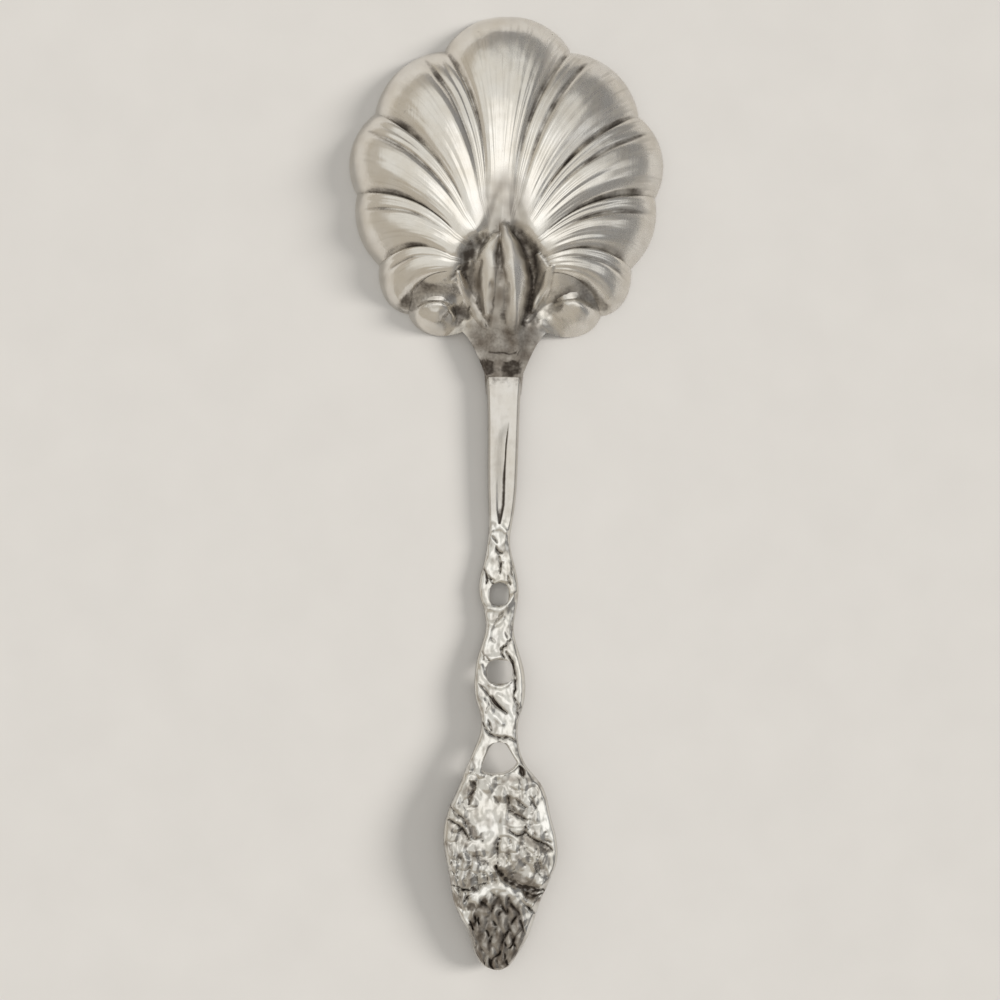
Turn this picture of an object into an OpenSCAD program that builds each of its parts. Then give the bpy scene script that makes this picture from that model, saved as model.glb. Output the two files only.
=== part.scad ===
// Shell-bowl serving spoon, lying mouth down with its back up.
// The bowl is struck from sheet, the pierced handle is cast, and hard solder joins the two in a scarf.
// +Y runs from the handle to the tip of the bowl, +Z is up, and the rim lies on Z = 0.

/* [Bowl] */
// Width of the bowl across its widest lobes
bowl_w = 75.6; // [64:0.2:92]
// Height of the back above the rim
bowl_depth = 15; // [11:0.5:20]
// Thickness of the struck sheet
wall = 1.1; // [0.8:0.1:1.8]
// Height of the flutes on the back
flute_h = 2; // [0.6:0.1:2.4]
// Height of the two narrow ribs beside each flute
rib_h = 0.7; // [0:0.1:1]
// How far the flutes bow out of a straight line
flute_bow = 6; // [2:0.5:9]
// Height of the two scrolls beside the heel
scroll_h = 1.8; // [0.6:0.1:2.4]
// Height of the petals of the calyx at the heel
petal_h = 0.7; // [0.2:0.1:1.2]

/* [Neck] */
// Distance from the heel of the bowl to the seam on the back
neck_l = 10.7; // [8:0.1:14]
// Width of the neck at the seam
neck_w = 8.4; // [6:0.2:11]
// Thickness of the neck at the seam
neck_t = 3.8; // [3:0.1:5]
// Height of the neck's underside above the rim
neck_z = 0.6; // [0.3:0.1:2]
// Length of the scarf along the handle
scarf_l = 4; // [2:0.5:7]
// Thickness of the solder film
solder_t = 0.15; // [0.05:0.05:0.3]

/* [Handle] */
// Length of the plain shank from the seam
shank_l = 36.5; // [30:0.5:50]
// Width of the plain shank
shank_w = 6.9; // [5.5:0.1:8.4]
// Length of the trough in the back of the shank
trough_l = 25; // [15:1:30]
// Width of the trough at its wide end
trough_w = 3.2; // [2:0.1:4]
// Depth of the trough at its point
trough_d = 0.7; // [0.3:0.1:1.2]
// Distance from the shank to the first eye
first_eye = 15; // [12:0.5:18]
// Distance from one eye to the next
eye_pitch = 19; // [17:0.5:24]
// Width of the first eye
eye_w = 5; // [3.5:0.1:6]
// Width of the second eye
second_eye_w = 6.1; // [4:0.1:7.2]
// Length of the first two eyes
eye_l = 5.6; // [4:0.1:7]
// Width of the three-cornered eye above the finial
last_eye_w = 8.2; // [5:0.1:9]
// Length of the three-cornered eye
last_eye_l = 7; // [4:0.1:8]
// Thickness of the web between the stems
web_t = 2.4; // [1.8:0.1:3]
// Width of each of the two stems beside the eyes
stem_w = 2.5; // [2:0.1:3]
// Thickness of each stem
stem_t = 3.4; // [2.8:0.1:4]
// Height of the leaves on the web
leaf_h = 0.9; // [0.3:0.1:1.2]

/* [Finial] */
// Length of the finial
finial_l = 47.6; // [38:0.5:57]
// Width of the finial across its leaves
finial_w = 27.4; // [22:0.2:33]
// Thickness of the finial
finial_t = 3.4; // [2.6:0.1:4.4]
// Height of the leaves on the finial
frond_h = 1.3; // [0.3:0.1:1.6]
// Length of the berry below the leaves
berry_l = 21; // [17:0.5:25]
// Width of the berry
berry_w = 18; // [14:0.5:20]
// Height of the berry
berry_h = 1.2; // [0.4:0.1:1.6]

/* [Hidden] */

silver = [0.83, 0.82, 0.79];
solder = [0.55, 0.52, 0.47];

// Outline of the bowl, by angle from the tip: where each lobe ends, and how far it stands past its notches.
lobe_ends = [26.8, 65, 97.4, 125.5, 145, 165];
lobe_rises = [5.9, 2.1, 2.4, 1.4, 2.1, 2.4];
last_lobe = len(lobe_ends) - 1;
widest_a = 80;
notch_growth = 0.035;
heel_flare = 2.6;
heel_starts = 122;
neck_hollow = 1;
notch_r = bowl_w / 2 - lobe_rises[2];
tip_r = notch_at(0) + lobe_rises[0];
heel_y = notch_at(lobe_ends[last_lobe]) * cos(180 - lobe_ends[last_lobe]);
heel_l = heel_y + neck_l;
corner_a = 180 - atan(neck_w / 2 / heel_l);

// The dome's profile, the stock ground off the rim, and the angles over which the dome turns into the neck.
dome_power = 2.4;
wall_power = 0.6;
neck_power = 2;
rim_stock = 0.05;
neck_from = 154;
neck_to = 170;

// The root of the flutes, an oval round the calyx.
root_y = 14.3 - heel_y;
root_w = 23;
root_up = 17.3;
root_down = 13;
root_turn = 0.65;
root_share = 0.3;
calyx_y = -heel_y;
calyx_l = 21;
petal_pitch = 21;
calyx_half = 42;
scroll_a = 153.5;
scroll_in = 5;
scroll_r = 3.4;

// Places along Y. The whole length is centred on the origin.
finial_at = shank_l + first_eye + 2 * eye_pitch + 4;
handle_l = finial_at + finial_l;
overall_l = tip_r + heel_l + solder_t + handle_l;
bowl_y = overall_l / 2 - tip_r;
seam_y = bowl_y - heel_l;
neck_top = neck_z + neck_t;
eyes = [for (i = [0:2]) shank_l + first_eye + i * eye_pitch];
eye_ws = [eye_w, second_eye_w, last_eye_w];
eye_ls = [eye_l, eye_l, last_eye_l];
eye_starts = [for (i = [0:2]) eyes[i] - eye_ls[i] / 2];
eye_ends = [for (i = [0:2]) eyes[i] + eye_ls[i] / 2];

// Stations of the handle: distance from the seam, then a size.
rest_at = shank_l + 4;
shoulder_at = eye_starts[2] - 4;
half_widths = [
    [0, neck_w / 2], [9, shank_w / 2], [shank_l - 8, shank_w / 2 - 0.1], [shank_l + 1, shank_w / 2 - 0.5],
    [eyes[0], eye_w / 2 + stem_w - 0.1], [(eye_ends[0] + eye_starts[1]) / 2, shank_w / 2 - 0.1],
    [eye_ends[1] - 1, second_eye_w / 2 + stem_w + 0.5], [shoulder_at, shank_w / 2 + 0.8]
];
finial_halves = [
    [0, 0.27], [0.06, 0.34], [0.15, 0.42], [0.25, 0.47], [0.37, 0.5], [0.48, 0.485], [0.58, 0.44],
    [0.66, 0.39], [0.75, 0.325], [0.83, 0.25], [0.9, 0.19], [0.95, 0.14], [0.985, 0.08], [1, 0.03]
];
shoulder = [
    [shoulder_at, shank_w / 2 + 0.8], [eye_starts[2], shank_w / 2 + 1.3], [eyes[2], shank_w / 2 + 2.4],
    [finial_at, finial_halves[0][1] * finial_w]
];

// Half of a section across the handle, from its middle at 0 to its edge at 1.
shares = [0, 0.1, 0.2, 0.3, 0.42, 0.54, 0.66, 0.77, 0.87, 0.95];
half_n = len(shares);
square = 6;
square_turn = 0.35;
collar_d = 0.5;

// The stem's lowest point lies on the same plane as the rim.
rest_depth = max([
    for (d = [rest_at - 8:1:rest_at + 8]) for (t = shares)
        half_t(t * half_w(d), d) + front_share(d) * ornament(t * half_w(d), d)
]);
heights = [
    [0, neck_z + neck_t / 2], [rest_at, rest_depth], [finial_at + finial_l * 0.42, 7], [handle_l, 4.2]
];

// Rises smoothly from 0 at lo to 1 at hi.
function smooth(lo, hi, v) = let (t = min(1, max(0, (v - lo) / (hi - lo)))) t * t * (3 - 2 * t);

// A smooth track through stations, level at each one.
function track(list, d, i = 0) =
    i >= len(list) - 1 ? list[len(list) - 1][1]
    : d <= list[i + 1][0]
        ? list[i][1] + (list[i + 1][1] - list[i][1]) * smooth(list[i][0], list[i + 1][0], d)
        : track(list, d, i + 1);

// Outline of the bowl, as a radius at an angle from the tip.
function lobe_of(a, i = 0) = i == last_lobe || abs(a) <= lobe_ends[i] ? i : lobe_of(a, i + 1);
function lobe_share(a, i) =
    i == 0 ? (a / lobe_ends[0] + 1) / 2
    : min(1, (abs(a) - lobe_ends[i - 1]) / (lobe_ends[i] - lobe_ends[i - 1]));
function notch_at(a) =
    notch_r + notch_growth * (abs(a) - widest_a)
        + heel_flare * smooth(heel_starts, lobe_ends[last_lobe - 1], abs(a))
        - 0.85 * heel_flare * smooth(lobe_ends[last_lobe - 1], lobe_ends[last_lobe], abs(a));
function bump(t) = pow(sin(180 * min(1, max(0, t))), 0.8);
function flat_point(a, r) = [r * sin(a), r * cos(a)];
function cross2(p, q) = p[0] * q[1] - p[1] * q[0];
function side_r(a) =
    let (
        from = flat_point(lobe_ends[last_lobe], notch_at(lobe_ends[last_lobe])),
        along = [neck_w / 2, -heel_l] - from
    )
    cross2(from, along) / cross2(flat_point(abs(a), 1), along)
        - neck_hollow * sin(180 * (abs(a) - lobe_ends[last_lobe]) / (corner_a - lobe_ends[last_lobe]));
function outline_r(a) =
    abs(a) <= lobe_ends[last_lobe]
        ? let (i = lobe_of(a)) notch_at(a) + lobe_rises[i] * bump(lobe_share(a, i))
    : abs(a) < corner_a ? side_r(a)
    : heel_l / cos(180 - abs(a));
function even_r(a) =
    abs(a) > lobe_ends[last_lobe] ? outline_r(a)
    : notch_at(a) + lobe_rises[2] * (1 - smooth(lobe_ends[last_lobe - 1], lobe_ends[last_lobe], abs(a)));

// How much a direction belongs to the neck, from 0 on the lobes to 1.
function neck_share(a) = smooth(neck_from, neck_to, abs(a));

// A point of the plan: v runs from the calyx at 0 to the rim at 1, along a bowed flute.
function root_angle(a) =
    let (
        last = lobe_ends[last_lobe - 1],
        turned = root_turn * min(abs(a), last),
        rest = max(0, abs(a) - last)
    )
    sign(a) * (turned + rest * (180 - root_turn * last) / (180 - last));
function root_point(a) =
    let (b = root_angle(a))
    [root_w / 2 * sin(b), root_y + (abs(b) < 90 ? root_up : root_down) * cos(b)];
function plan(a, v) =
    let (
        k = root_point(a),
        p = flat_point(a, outline_r(a)),
        along = (p - k) / norm(p - k),
        bowed = smooth(0, lobe_ends[0], abs(a)) * (1 - smooth(lobe_ends[last_lobe - 1], neck_to, abs(a))),
        q = (k + p) / 2 + flute_bow * sign(a) * bowed * [-along[1], along[0]],
        t = (v - root_share) / (1 - root_share)
    )
    v <= root_share ? [0, root_y] + (k - [0, root_y]) * v / root_share
    : k * pow(1 - t, 2) + q * 2 * t * (1 - t) + p * t * t;

// Relief on the sheet: flutes, two scrolls, and the calyx.
// The middle flute is a broad fan. Each other one has two ribs, a steep side, a crest and a long fall.
flute_shape = [
    [0, 0], [0.07, rib_h], [0.17, rib_h], [0.25, rib_h * 0.4], [0.38, flute_h * 0.85], [0.52, flute_h],
    [0.7, flute_h * 0.82], [0.9, flute_h * 0.4], [1, 0]
];
function flute(a) =
    let (i = lobe_of(a), t = lobe_share(a, i))
    abs(a) > lobe_ends[last_lobe - 1] ? 0
    : (i == 0 ? flute_h * bump(t) : lookup(t, flute_shape)) - 0.6 * flute_h;
function flute_reach(v) =
    (0.1 + 0.9 * smooth(root_share - 0.06, 0.82, v)) * smooth(root_share * 0.55, root_share * 1.05, v);
function scroll(p) =
    let (
        c = flat_point(scroll_a, outline_r(scroll_a) - scroll_in),
        d = norm([abs(p[0]), p[1]] - c) / scroll_r
    )
    scroll_h * exp(-d * d) - scroll_h / 2 * exp(-pow((d - 1.7) * 2, 2));
function calyx(p) =
    let (q = p - [0, calyx_y], d = norm(q), b = abs(atan2(q[0], q[1])))
    petal_h * cos(360 * (b / petal_pitch - 0.5)) * smooth(4, 9, d)
        * (1 - smooth(calyx_l - 5, calyx_l, d)) * (1 - smooth(calyx_half - 8, calyx_half, b));
function relief(p, a, v, rho) =
    (flute(a) * flute_reach(v) + scroll(p) + calyx(p)) * (1 - pow(min(1, rho), 6));

// A point of the sheet. The inner face is set in by the wall, and runs into the neck's underside.
function sheet(a, v, inner) =
    let (
        p = plan(a, v),
        b = atan2(p[0], p[1]),
        n = neck_share(b),
        lobed = 1 + (outline_r(a) / even_r(a) - 1) * smooth(0.45, 1, v),
        rho = v == 1 ? 1 : norm(p) / (even_r(b) * lobed),
        rise = pow(max(0, 1 - pow(rho, dome_power)), wall_power + (neck_power - wall_power) * n),
        low = n * (inner ? neck_z : neck_top) - (1 - n) * rim_stock,
        high = bowl_depth - (inner ? wall : 0),
        set_in = inner ? 1 - wall * (1 - neck_share(a)) / outline_r(a) : 1,
        on_scarf = inner && abs(a) >= corner_a ? -scarf_l * smooth(0.8, 1, v) : 0
    )
    [p[0] * set_in, p[1] * set_in + on_scarf, low + (high - low) * rise + relief(p, a, v, rho)];

// Columns of the sheet, by angle, and rows, by share of the way to the rim.
flute_steps = [for (i = [0:len(flute_shape) - 2]) flute_shape[i][0]];
half_columns = [
    for (t = [0.6, 0.7, 0.8, 0.88, 0.95]) (2 * t - 1) * lobe_ends[0],
    for (i = [1:last_lobe - 1]) for (t = flute_steps)
        lobe_ends[i - 1] + t * (lobe_ends[i] - lobe_ends[i - 1]),
    for (t = [0:0.125:0.99])
        lobe_ends[last_lobe - 1] + t * (lobe_ends[last_lobe] - lobe_ends[last_lobe - 1]),
    for (t = [0:0.25:1]) lobe_ends[last_lobe] + t * (corner_a - lobe_ends[last_lobe]),
    (corner_a + 180) / 2
];
mirrored = [for (i = [len(half_columns) - 1:-1:0]) -half_columns[i]];
columns = concat(mirrored, [0], half_columns, [180]);
root_rows = [for (i = [1:9]) root_share * i / 9];
flute_rows = [for (i = [1:10]) root_share + (1 - root_share) * (1 - pow(1 - i / 10, 1.8))];
outer_rows = concat(root_rows, flute_rows);
inner_rows = [for (i = [0:2:len(outer_rows) - 1]) outer_rows[i]];

// Triangles of a closed skin: two fans at the poles, and strips between successive rings of n points.
function strip(a, b, n) =
    [for (i = [0:n - 1]) let (j = (i + 1) % n) each [[a + i, b + i, b + j], [a + i, b + j, a + j]]];

module bowl() {
    n = len(columns);
    m = len(outer_rows);
    k = len(inner_rows);
    outer = [for (v = outer_rows) for (a = columns) sheet(a, v, false)];
    inner = [for (v = inner_rows) for (a = columns) sheet(a, v, true)];
    points = concat(outer, inner, [sheet(0, 0, false), sheet(0, 0, true)]);
    start = n * m;
    poles = start + n * k;
    faces = concat(
        [for (i = [0:n - 1]) [poles, i, (i + 1) % n]],
        [for (r = [0:m - 2]) each strip(r * n, r * n + n, n)],
        strip((m - 1) * n, start + (k - 1) * n, n),
        [for (r = [0:k - 2]) each strip(start + r * n + n, start + r * n, n)],
        [for (i = [0:n - 1]) [poles + 1, start + (i + 1) % n, start + i]]
    );
    color(silver) translate([0, bowl_y, 0]) difference() {
        polyhedron(points, faces);
        translate([-bowl_w, -bowl_w, -bowl_depth]) cube([2 * bowl_w, 2 * bowl_w, bowl_depth]);
    }
}

// The scarf: it leans so that its lower edge reaches further along the handle.
function on_scarf(z, shift) = seam_y - shift - scarf_l * (neck_top - z) / neck_t;
function square_end(share) = neck_t / 2 * pow(1 - pow(share, square), square_turn);

// Outline of the handle and of its eyes, as half widths at a distance from the seam.
function half_w(d) =
    d < shoulder_at ? track(half_widths, d)
    : d < finial_at ? lookup(d, shoulder)
    : finial_w * lookup((d - finial_at) / finial_l, finial_halves);
function eye_half(d, i) =
    let (t = (d - eye_starts[i]) / eye_ls[i], base = 0.82)
    t <= 0 || t >= 1 ? 0
    : i < 2 ? eye_ws[i] * sqrt(t * (1 - t))
    : t < base ? eye_ws[i] / 2 * pow(t / base, 0.8)
    : eye_ws[i] / 2 * sqrt(1 - pow((t - base) / (1 - base), 2));
function gap_half(d) = max([for (i = [0:2]) eye_half(d, i)]);

// Thickness of the handle: a square bar, then two round stems with a web between, then the finial.
function stem_half_t(x, w) =
    let (u = (x - w + stem_w / 2) / (stem_w / 2))
    u > 0 ? stem_t / 2 * sqrt(max(0, 1 - u * u))
    : web_t / 2 + (stem_t - web_t) / 2 * exp(-2 * u * u);
function half_t(x, d) =
    let (
        w = half_w(d),
        share = min(1, x / w),
        stemmed = smooth(shank_l - 5, shank_l + 3, d),
        ended = smooth(finial_at - 2, finial_at + 6, d),
        tip = 1 - 0.45 * smooth(handle_l - berry_l / 3, handle_l, d),
        bar = square_end(share) * (1 - 0.06 * smooth(0, shank_l, d)),
        leafy = finial_t / 2 * pow(1 - pow(share, 4), 0.5) * tip
    )
    (bar * (1 - stemmed) + stem_half_t(x, w) * stemmed) * (1 - ended) + leafy * ended;

// A blade from one point of the plan to another, highest on its midrib.
function blade(p, from, to, w) =
    let (
        along = to - from,
        t = min(1, max(0, (p - from) * along / (along * along))),
        off = norm(p - from - t * along) / (w * (0.5 + 0.5 * sin(180 * t)))
    )
    max(0, 1 - off * off);

// Ornament on either face of the handle: leaves between the eyes, fronds on the finial, and the berry.
function leaf_on(x, d) =
    max([for (i = [0:2]) let (from = i == 0 ? shank_l : eye_ends[i - 1])
        blade([x, d], [0, from + 1], [0, eye_starts[i] - 0.4], shank_w / 2 - 0.5)]);
function frond_on(x, d) =
    let (p = [x, d - finial_at])
    max(
        blade(p, [finial_w * 0.1, 2], [finial_w * 0.16, finial_l - berry_l], finial_w * 0.17),
        blade(p, [finial_w * 0.25, 5], [finial_w * 0.37, finial_l - berry_l + 1], finial_w * 0.15)
    );
function on_berry(x, d) = [x / berry_w * 2, (d - handle_l + berry_l * 0.48) / berry_l * 2];
function berry_on(x, d) =
    let (p = on_berry(x, d))
    sqrt(max(0, 1 - p * p));
function collar(x, d) =
    let (p = on_berry(x, d), off = (norm(p) - 1.08) / 0.12)
    p[1] > 0 ? 0 : exp(-off * off);
function tendril_on(x, d) =
    blade([x, d], [-shank_w / 2, eye_ends[1] + 0.5], [shank_w / 3, eye_starts[2] - 3], 1.3);
function ornament(x, d) =
    let (b = abs(x), edge = 1 - pow(min(1, b / half_w(d)), 6))
    edge * max(
        leaf_h * leaf_on(b, d),
        frond_h * frond_on(b, d),
        berry_h * berry_on(b, d) - collar_d * collar(b, d)
    );
function front_share(d) = 0.5 + 0.5 * smooth(eyes[2], finial_at + 5, d);
function trough(x, d) =
    let (t = (d - shank_l + 2 + trough_l) / trough_l, half = trough_w / 2 * (1 - 0.75 * t))
    t <= 0 || t >= 1 ? 0 : trough_d * smooth(0, 0.9, t) * (1 - smooth(half * 0.5, half, abs(x)));

// A point of the handle, on its back or its front. The rows lean with the scarf near the seam.
function skin(x, d, back) =
    let (
        t = half_t(abs(x), d),
        up = back
            ? t + ornament(x, d) + leaf_h / 2 * tendril_on(x, d) - trough(x, d)
            : -t - front_share(d) * ornament(x, d),
        z = track(heights, d) + up,
        lean = max(0, 1 - d / 9)
    )
    [x, lean * on_scarf(z, solder_t) + (1 - lean) * (seam_y - solder_t) - d, z];

// Rows along the handle. Each eye has a row at both of its ends.
function spread(from, to, n) = [for (i = [0:n - 1]) from + (to - from) * i / n];
function eye_rows(i) = [for (k = [0:9]) eyes[i] - eye_ls[i] / 2 * cos(18 * k)];
handle_rows = concat(
    spread(0, shank_l - 2 - trough_l, 4), spread(shank_l - 2 - trough_l, shank_l - 5, 8),
    spread(shank_l - 5, eye_starts[0], 7), eye_rows(0), spread(eye_ends[0], eye_starts[1], 7), eye_rows(1),
    spread(eye_ends[1], eye_starts[2], 7), eye_rows(2), spread(eye_ends[2], handle_l - 2, 35),
    [handle_l - 2, handle_l - 1.2, handle_l - 0.6, handle_l - 0.2, handle_l]
);

// Each row has the back from the left edge to the right one, and the front likewise, with the edges shared.
// The two points at the middle of a row are one where no eye parts them.
module handle() {
    rows_n = len(handle_rows);
    per_face = 2 * half_n;
    per_row = 2 * per_face + 2;
    open = [for (d = handle_rows) gap_half(d) > 0.01];
    function at(d, side, share) = let (g = gap_half(d), w = half_w(d)) side * (g + share * (w - g));
    function face_points(d, back) = concat(
        [for (k = [half_n - 1:-1:0]) skin(at(d, -1, shares[k]), d, back)],
        [for (k = [0:half_n - 1]) skin(at(d, 1, shares[k]), d, back)]
    );
    function edge_points(d) = [skin(-half_w(d), d, true), skin(half_w(d), d, true)];
    points = [for (d = handle_rows)
        each concat(face_points(d, true), face_points(d, false), edge_points(d))];
    // Place k of a ring runs over the back and returns over the front.
    ring_n = per_row;
    function slot(r, k) =
        let (
            back = k <= half_n * 2 + 1,
            j = back ? k - 1 : ring_n - k - 1,
            joined = j == half_n && !open[r] ? half_n - 1 : j
        )
        r * per_row + (
            k == 0 ? 2 * per_face
            : k == per_face + 1 ? 2 * per_face + 1
            : (back ? 0 : per_face) + joined
        );
    left_back = half_n;
    left_front = ring_n - half_n;
    function quad(r, k) =
        let (n = (k + 1) % ring_n, a = slot(r, k), b = slot(r + 1, k), c = slot(r + 1, n), e = slot(r, n))
        concat(a == e || a == b ? [] : [[a, b, e]], b == c ? [] : [[b, c, e]]);
    between = [for (r = [0:rows_n - 2]) open[r] || open[r + 1]];
    sides = [for (r = [0:rows_n - 2]) for (k = [0:ring_n - 1])
        if (!(between[r] && (k == left_back || k == left_front - 1))) each quad(r, k)];
    function wall(r, a, b) =
        let (p = slot(r, a), q = slot(r, b), t = slot(r + 1, a), u = slot(r + 1, b))
        [[p, q, t], [t, q, u]];
    walls = [for (r = [0:rows_n - 2]) if (between[r])
        each concat(wall(r, left_front, left_back), wall(r, left_back + 1, left_front - 1))];
    cap = [for (k = [0:ring_n - 1]) if (k != left_back + 1 && k != left_front - 1) slot(0, k)];
    last = [for (k = [ring_n - 1:-1:0]) if (k != left_back + 1 && k != left_front - 1) slot(rows_n - 1, k)];
    inside_out = concat([cap, last], sides, walls);
    color(silver) polyhedron(points, [for (f = inside_out) [for (i = [len(f) - 1:-1:0]) f[i]]]);
}

// The film of solder fills the scarf between the neck and the shank.
module solder_seam() {
    across = concat([for (k = [half_n - 1:-1:1]) -shares[k]], shares);
    outline = concat(
        [[-neck_w / 2, track(heights, 0)]],
        [for (t = across) [t * neck_w / 2, track(heights, 0) + square_end(abs(t))]],
        [[neck_w / 2, track(heights, 0)]],
        [for (k = [len(across) - 1:-1:0])
            [across[k] * neck_w / 2, track(heights, 0) - square_end(abs(across[k]))]]
    );
    n = len(outline);
    points = concat(
        [for (p = outline) [p[0], on_scarf(p[1], 0), p[1]]],
        [for (p = outline) [p[0], on_scarf(p[1], solder_t), p[1]]]
    );
    faces = concat([[for (i = [n - 1:-1:0]) i]], [[for (i = [0:n - 1]) n + i]], strip(n, 0, n));
    color(solder) polyhedron(points, faces);
}

bowl();
solder_seam();
handle();
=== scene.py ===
import math

import bpy
import numpy as np
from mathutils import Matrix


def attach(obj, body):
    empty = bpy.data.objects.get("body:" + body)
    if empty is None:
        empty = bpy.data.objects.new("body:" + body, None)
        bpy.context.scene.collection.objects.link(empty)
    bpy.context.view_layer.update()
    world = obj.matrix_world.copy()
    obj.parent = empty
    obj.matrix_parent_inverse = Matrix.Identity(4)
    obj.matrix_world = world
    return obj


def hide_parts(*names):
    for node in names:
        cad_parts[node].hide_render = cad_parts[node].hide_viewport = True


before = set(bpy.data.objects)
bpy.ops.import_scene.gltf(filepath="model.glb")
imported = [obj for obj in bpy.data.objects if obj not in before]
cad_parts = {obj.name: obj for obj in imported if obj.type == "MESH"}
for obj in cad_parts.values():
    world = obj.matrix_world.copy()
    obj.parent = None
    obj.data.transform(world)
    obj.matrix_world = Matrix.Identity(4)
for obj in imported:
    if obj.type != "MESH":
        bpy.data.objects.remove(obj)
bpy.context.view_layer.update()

MM = 0.001
MARKS = ("dark", "film", "brushed")
JOIN = 1e-4
SHARP_ANGLE = math.radians(55)
LATTICE = 64


# Small tools


def smooth(lo, hi, v):
    """Rises smoothly from 0 at lo to 1 at hi."""
    t = np.clip((v - lo) / (hi - lo), 0, 1)
    return t * t * (3 - 2 * t)


def most(*values):
    """The largest of some arrays, place by place."""
    return np.maximum.reduce(values)


def curve(points, t, soft):
    """A soft curve through points, at t from 0 to 1."""
    steps = 1200
    fine = np.linspace(0, 1, steps + 1)
    x, y = np.array(points, float).T
    h = np.interp(fine, x, y)
    n = int(3 * soft * steps)
    k = np.exp(-0.5 * (np.arange(-n, n + 1) / (soft * steps)) ** 2)
    h = np.convolve(np.pad(h, n, mode="edge"), k / k.sum(), "valid")
    return np.interp(t, fine, h)


def noise(x, y, seed):
    """Smooth noise from about -1 to 1, one lump per unit."""
    turns = np.random.RandomState(seed).uniform(0, 2 * np.pi, (LATTICE, LATTICE))
    xi, yi = np.floor(x).astype(int), np.floor(y).astype(int)
    fx, fy = x - xi, y - yi
    u, v = fx**3 * (fx * (fx * 6 - 15) + 10), fy**3 * (fy * (fy * 6 - 15) + 10)

    def corner(i, j):
        b = turns[(yi + j) % LATTICE, (xi + i) % LATTICE]
        return np.cos(b) * (fx - i) + np.sin(b) * (fy - j)

    low = corner(0, 0) * (1 - u) + corner(1, 0) * u
    high = corner(0, 1) * (1 - u) + corner(1, 1) * u
    return 1.5 * (low * (1 - v) + high * v)


def cells(x, y, seed):
    """Distances to the nearest and the second nearest of scattered points, one per unit square."""
    spots = np.random.RandomState(seed).uniform(0.1, 0.9, (LATTICE, LATTICE, 2))
    xi, yi = np.floor(x).astype(int), np.floor(y).astype(int)
    first = np.full(np.shape(x), 9.0)
    second = first.copy()
    for j in (-1, 0, 1):
        for i in (-1, 0, 1):
            s = spots[(yi + j) % LATTICE, (xi + i) % LATTICE]
            d = np.hypot(xi + i + s[..., 0] - x, yi + j + s[..., 1] - y)
            second = np.minimum(second, np.maximum(first, d))
            first = np.minimum(first, d)
    return first, second


def off_line(x, y, points):
    """Distance to a line through points, and the share of the way along it."""
    p = np.array(points, float)
    length = np.hypot(*np.diff(p, axis=0).T)
    best, share, done = np.full(np.shape(x), 1e9), np.zeros(np.shape(x)), 0.0
    for a, b, n in zip(p[:-1], p[1:], length):
        t = np.clip(((x - a[0]) * (b[0] - a[0]) + (y - a[1]) * (b[1] - a[1])) / n**2, 0, 1)
        d = np.hypot(x - a[0] - t * (b[0] - a[0]), y - a[1] - t * (b[1] - a[1]))
        near = d < best
        best, share = np.where(near, d, best), np.where(near, (done + t * n) / length.sum(), share)
        done += n
    return best, share


def eased(points):
    """The same line with its corners cut twice."""
    p = np.array(points, float)
    for _ in range(2):
        if len(p) > 2:
            q, r = 0.75 * p[:-1] + 0.25 * p[1:], 0.25 * p[:-1] + 0.75 * p[1:]
            p = np.concatenate([p[:1], np.stack([q, r], 1).reshape(-1, 2)[1:-1], p[-1:]])
    return p


def along(x, y, points, half, thin, power):
    """Distance from a line in half widths, which shrink to a thin share at its ends. Far away it is endless."""
    p = eased(points)
    out = np.full(np.shape(x), np.inf)
    low, high = p.min(0) - 3 * half, p.max(0) + 3 * half
    near = (x > low[0]) & (x < high[0]) & (y > low[1]) & (y < high[1])
    d, t = off_line(x[near], y[near], p)
    s = np.sin(np.pi * np.clip(t, 0.02, 0.98))
    out[near] = d / (half * (thin + (1 - thin) * s**power))
    return out


def groove(x, y, points, half):
    """1 on a line through points, fading to 0 at its sides and thinner towards its ends."""
    return np.exp(-(along(x, y, points, half, 0.35, 0.5) ** 2))


def body(x, y, points, half):
    """1 along the top of a rounded bar through points, 0 at its sides."""
    return np.maximum(0, 1 - along(x, y, points, half, 0.3, 0.6) ** 2) ** 0.9


def oval(x, y, at, half_x, half_y, turn=0.0):
    """1 at the middle of an oval, falling to 0 at its edge and below 0 outside."""
    c, s = math.cos(math.radians(turn)), math.sin(math.radians(turn))
    u, v = (x - at[0]) * c + (y - at[1]) * s, -(x - at[0]) * s + (y - at[1]) * c
    return 1 - (u / half_x) ** 2 - (v / half_y) ** 2


def hollow_of(h, rows, columns, wrap):
    """How far each height of a grid lies under the heights round it, taken over some rows and columns."""
    even = h
    for axis, s in ((0, rows), (1, columns)):
        n = int(3 * s)
        k = np.exp(-0.5 * (np.arange(-n, n + 1) / s) ** 2)
        pad = [(0, 0), (0, 0)]
        pad[axis] = (n, n)
        wide = np.pad(even, pad, mode="wrap" if wrap and axis else "edge")
        size = h.shape[axis]
        parts = enumerate(k / k.sum())
        even = sum(w * np.take(wide, np.arange(i, i + size), axis=axis) for i, w in parts)
    return even - h


def add_object(name, data):
    ob = bpy.data.objects.new(name, data)
    bpy.context.scene.collection.objects.link(ob)
    return ob


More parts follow.
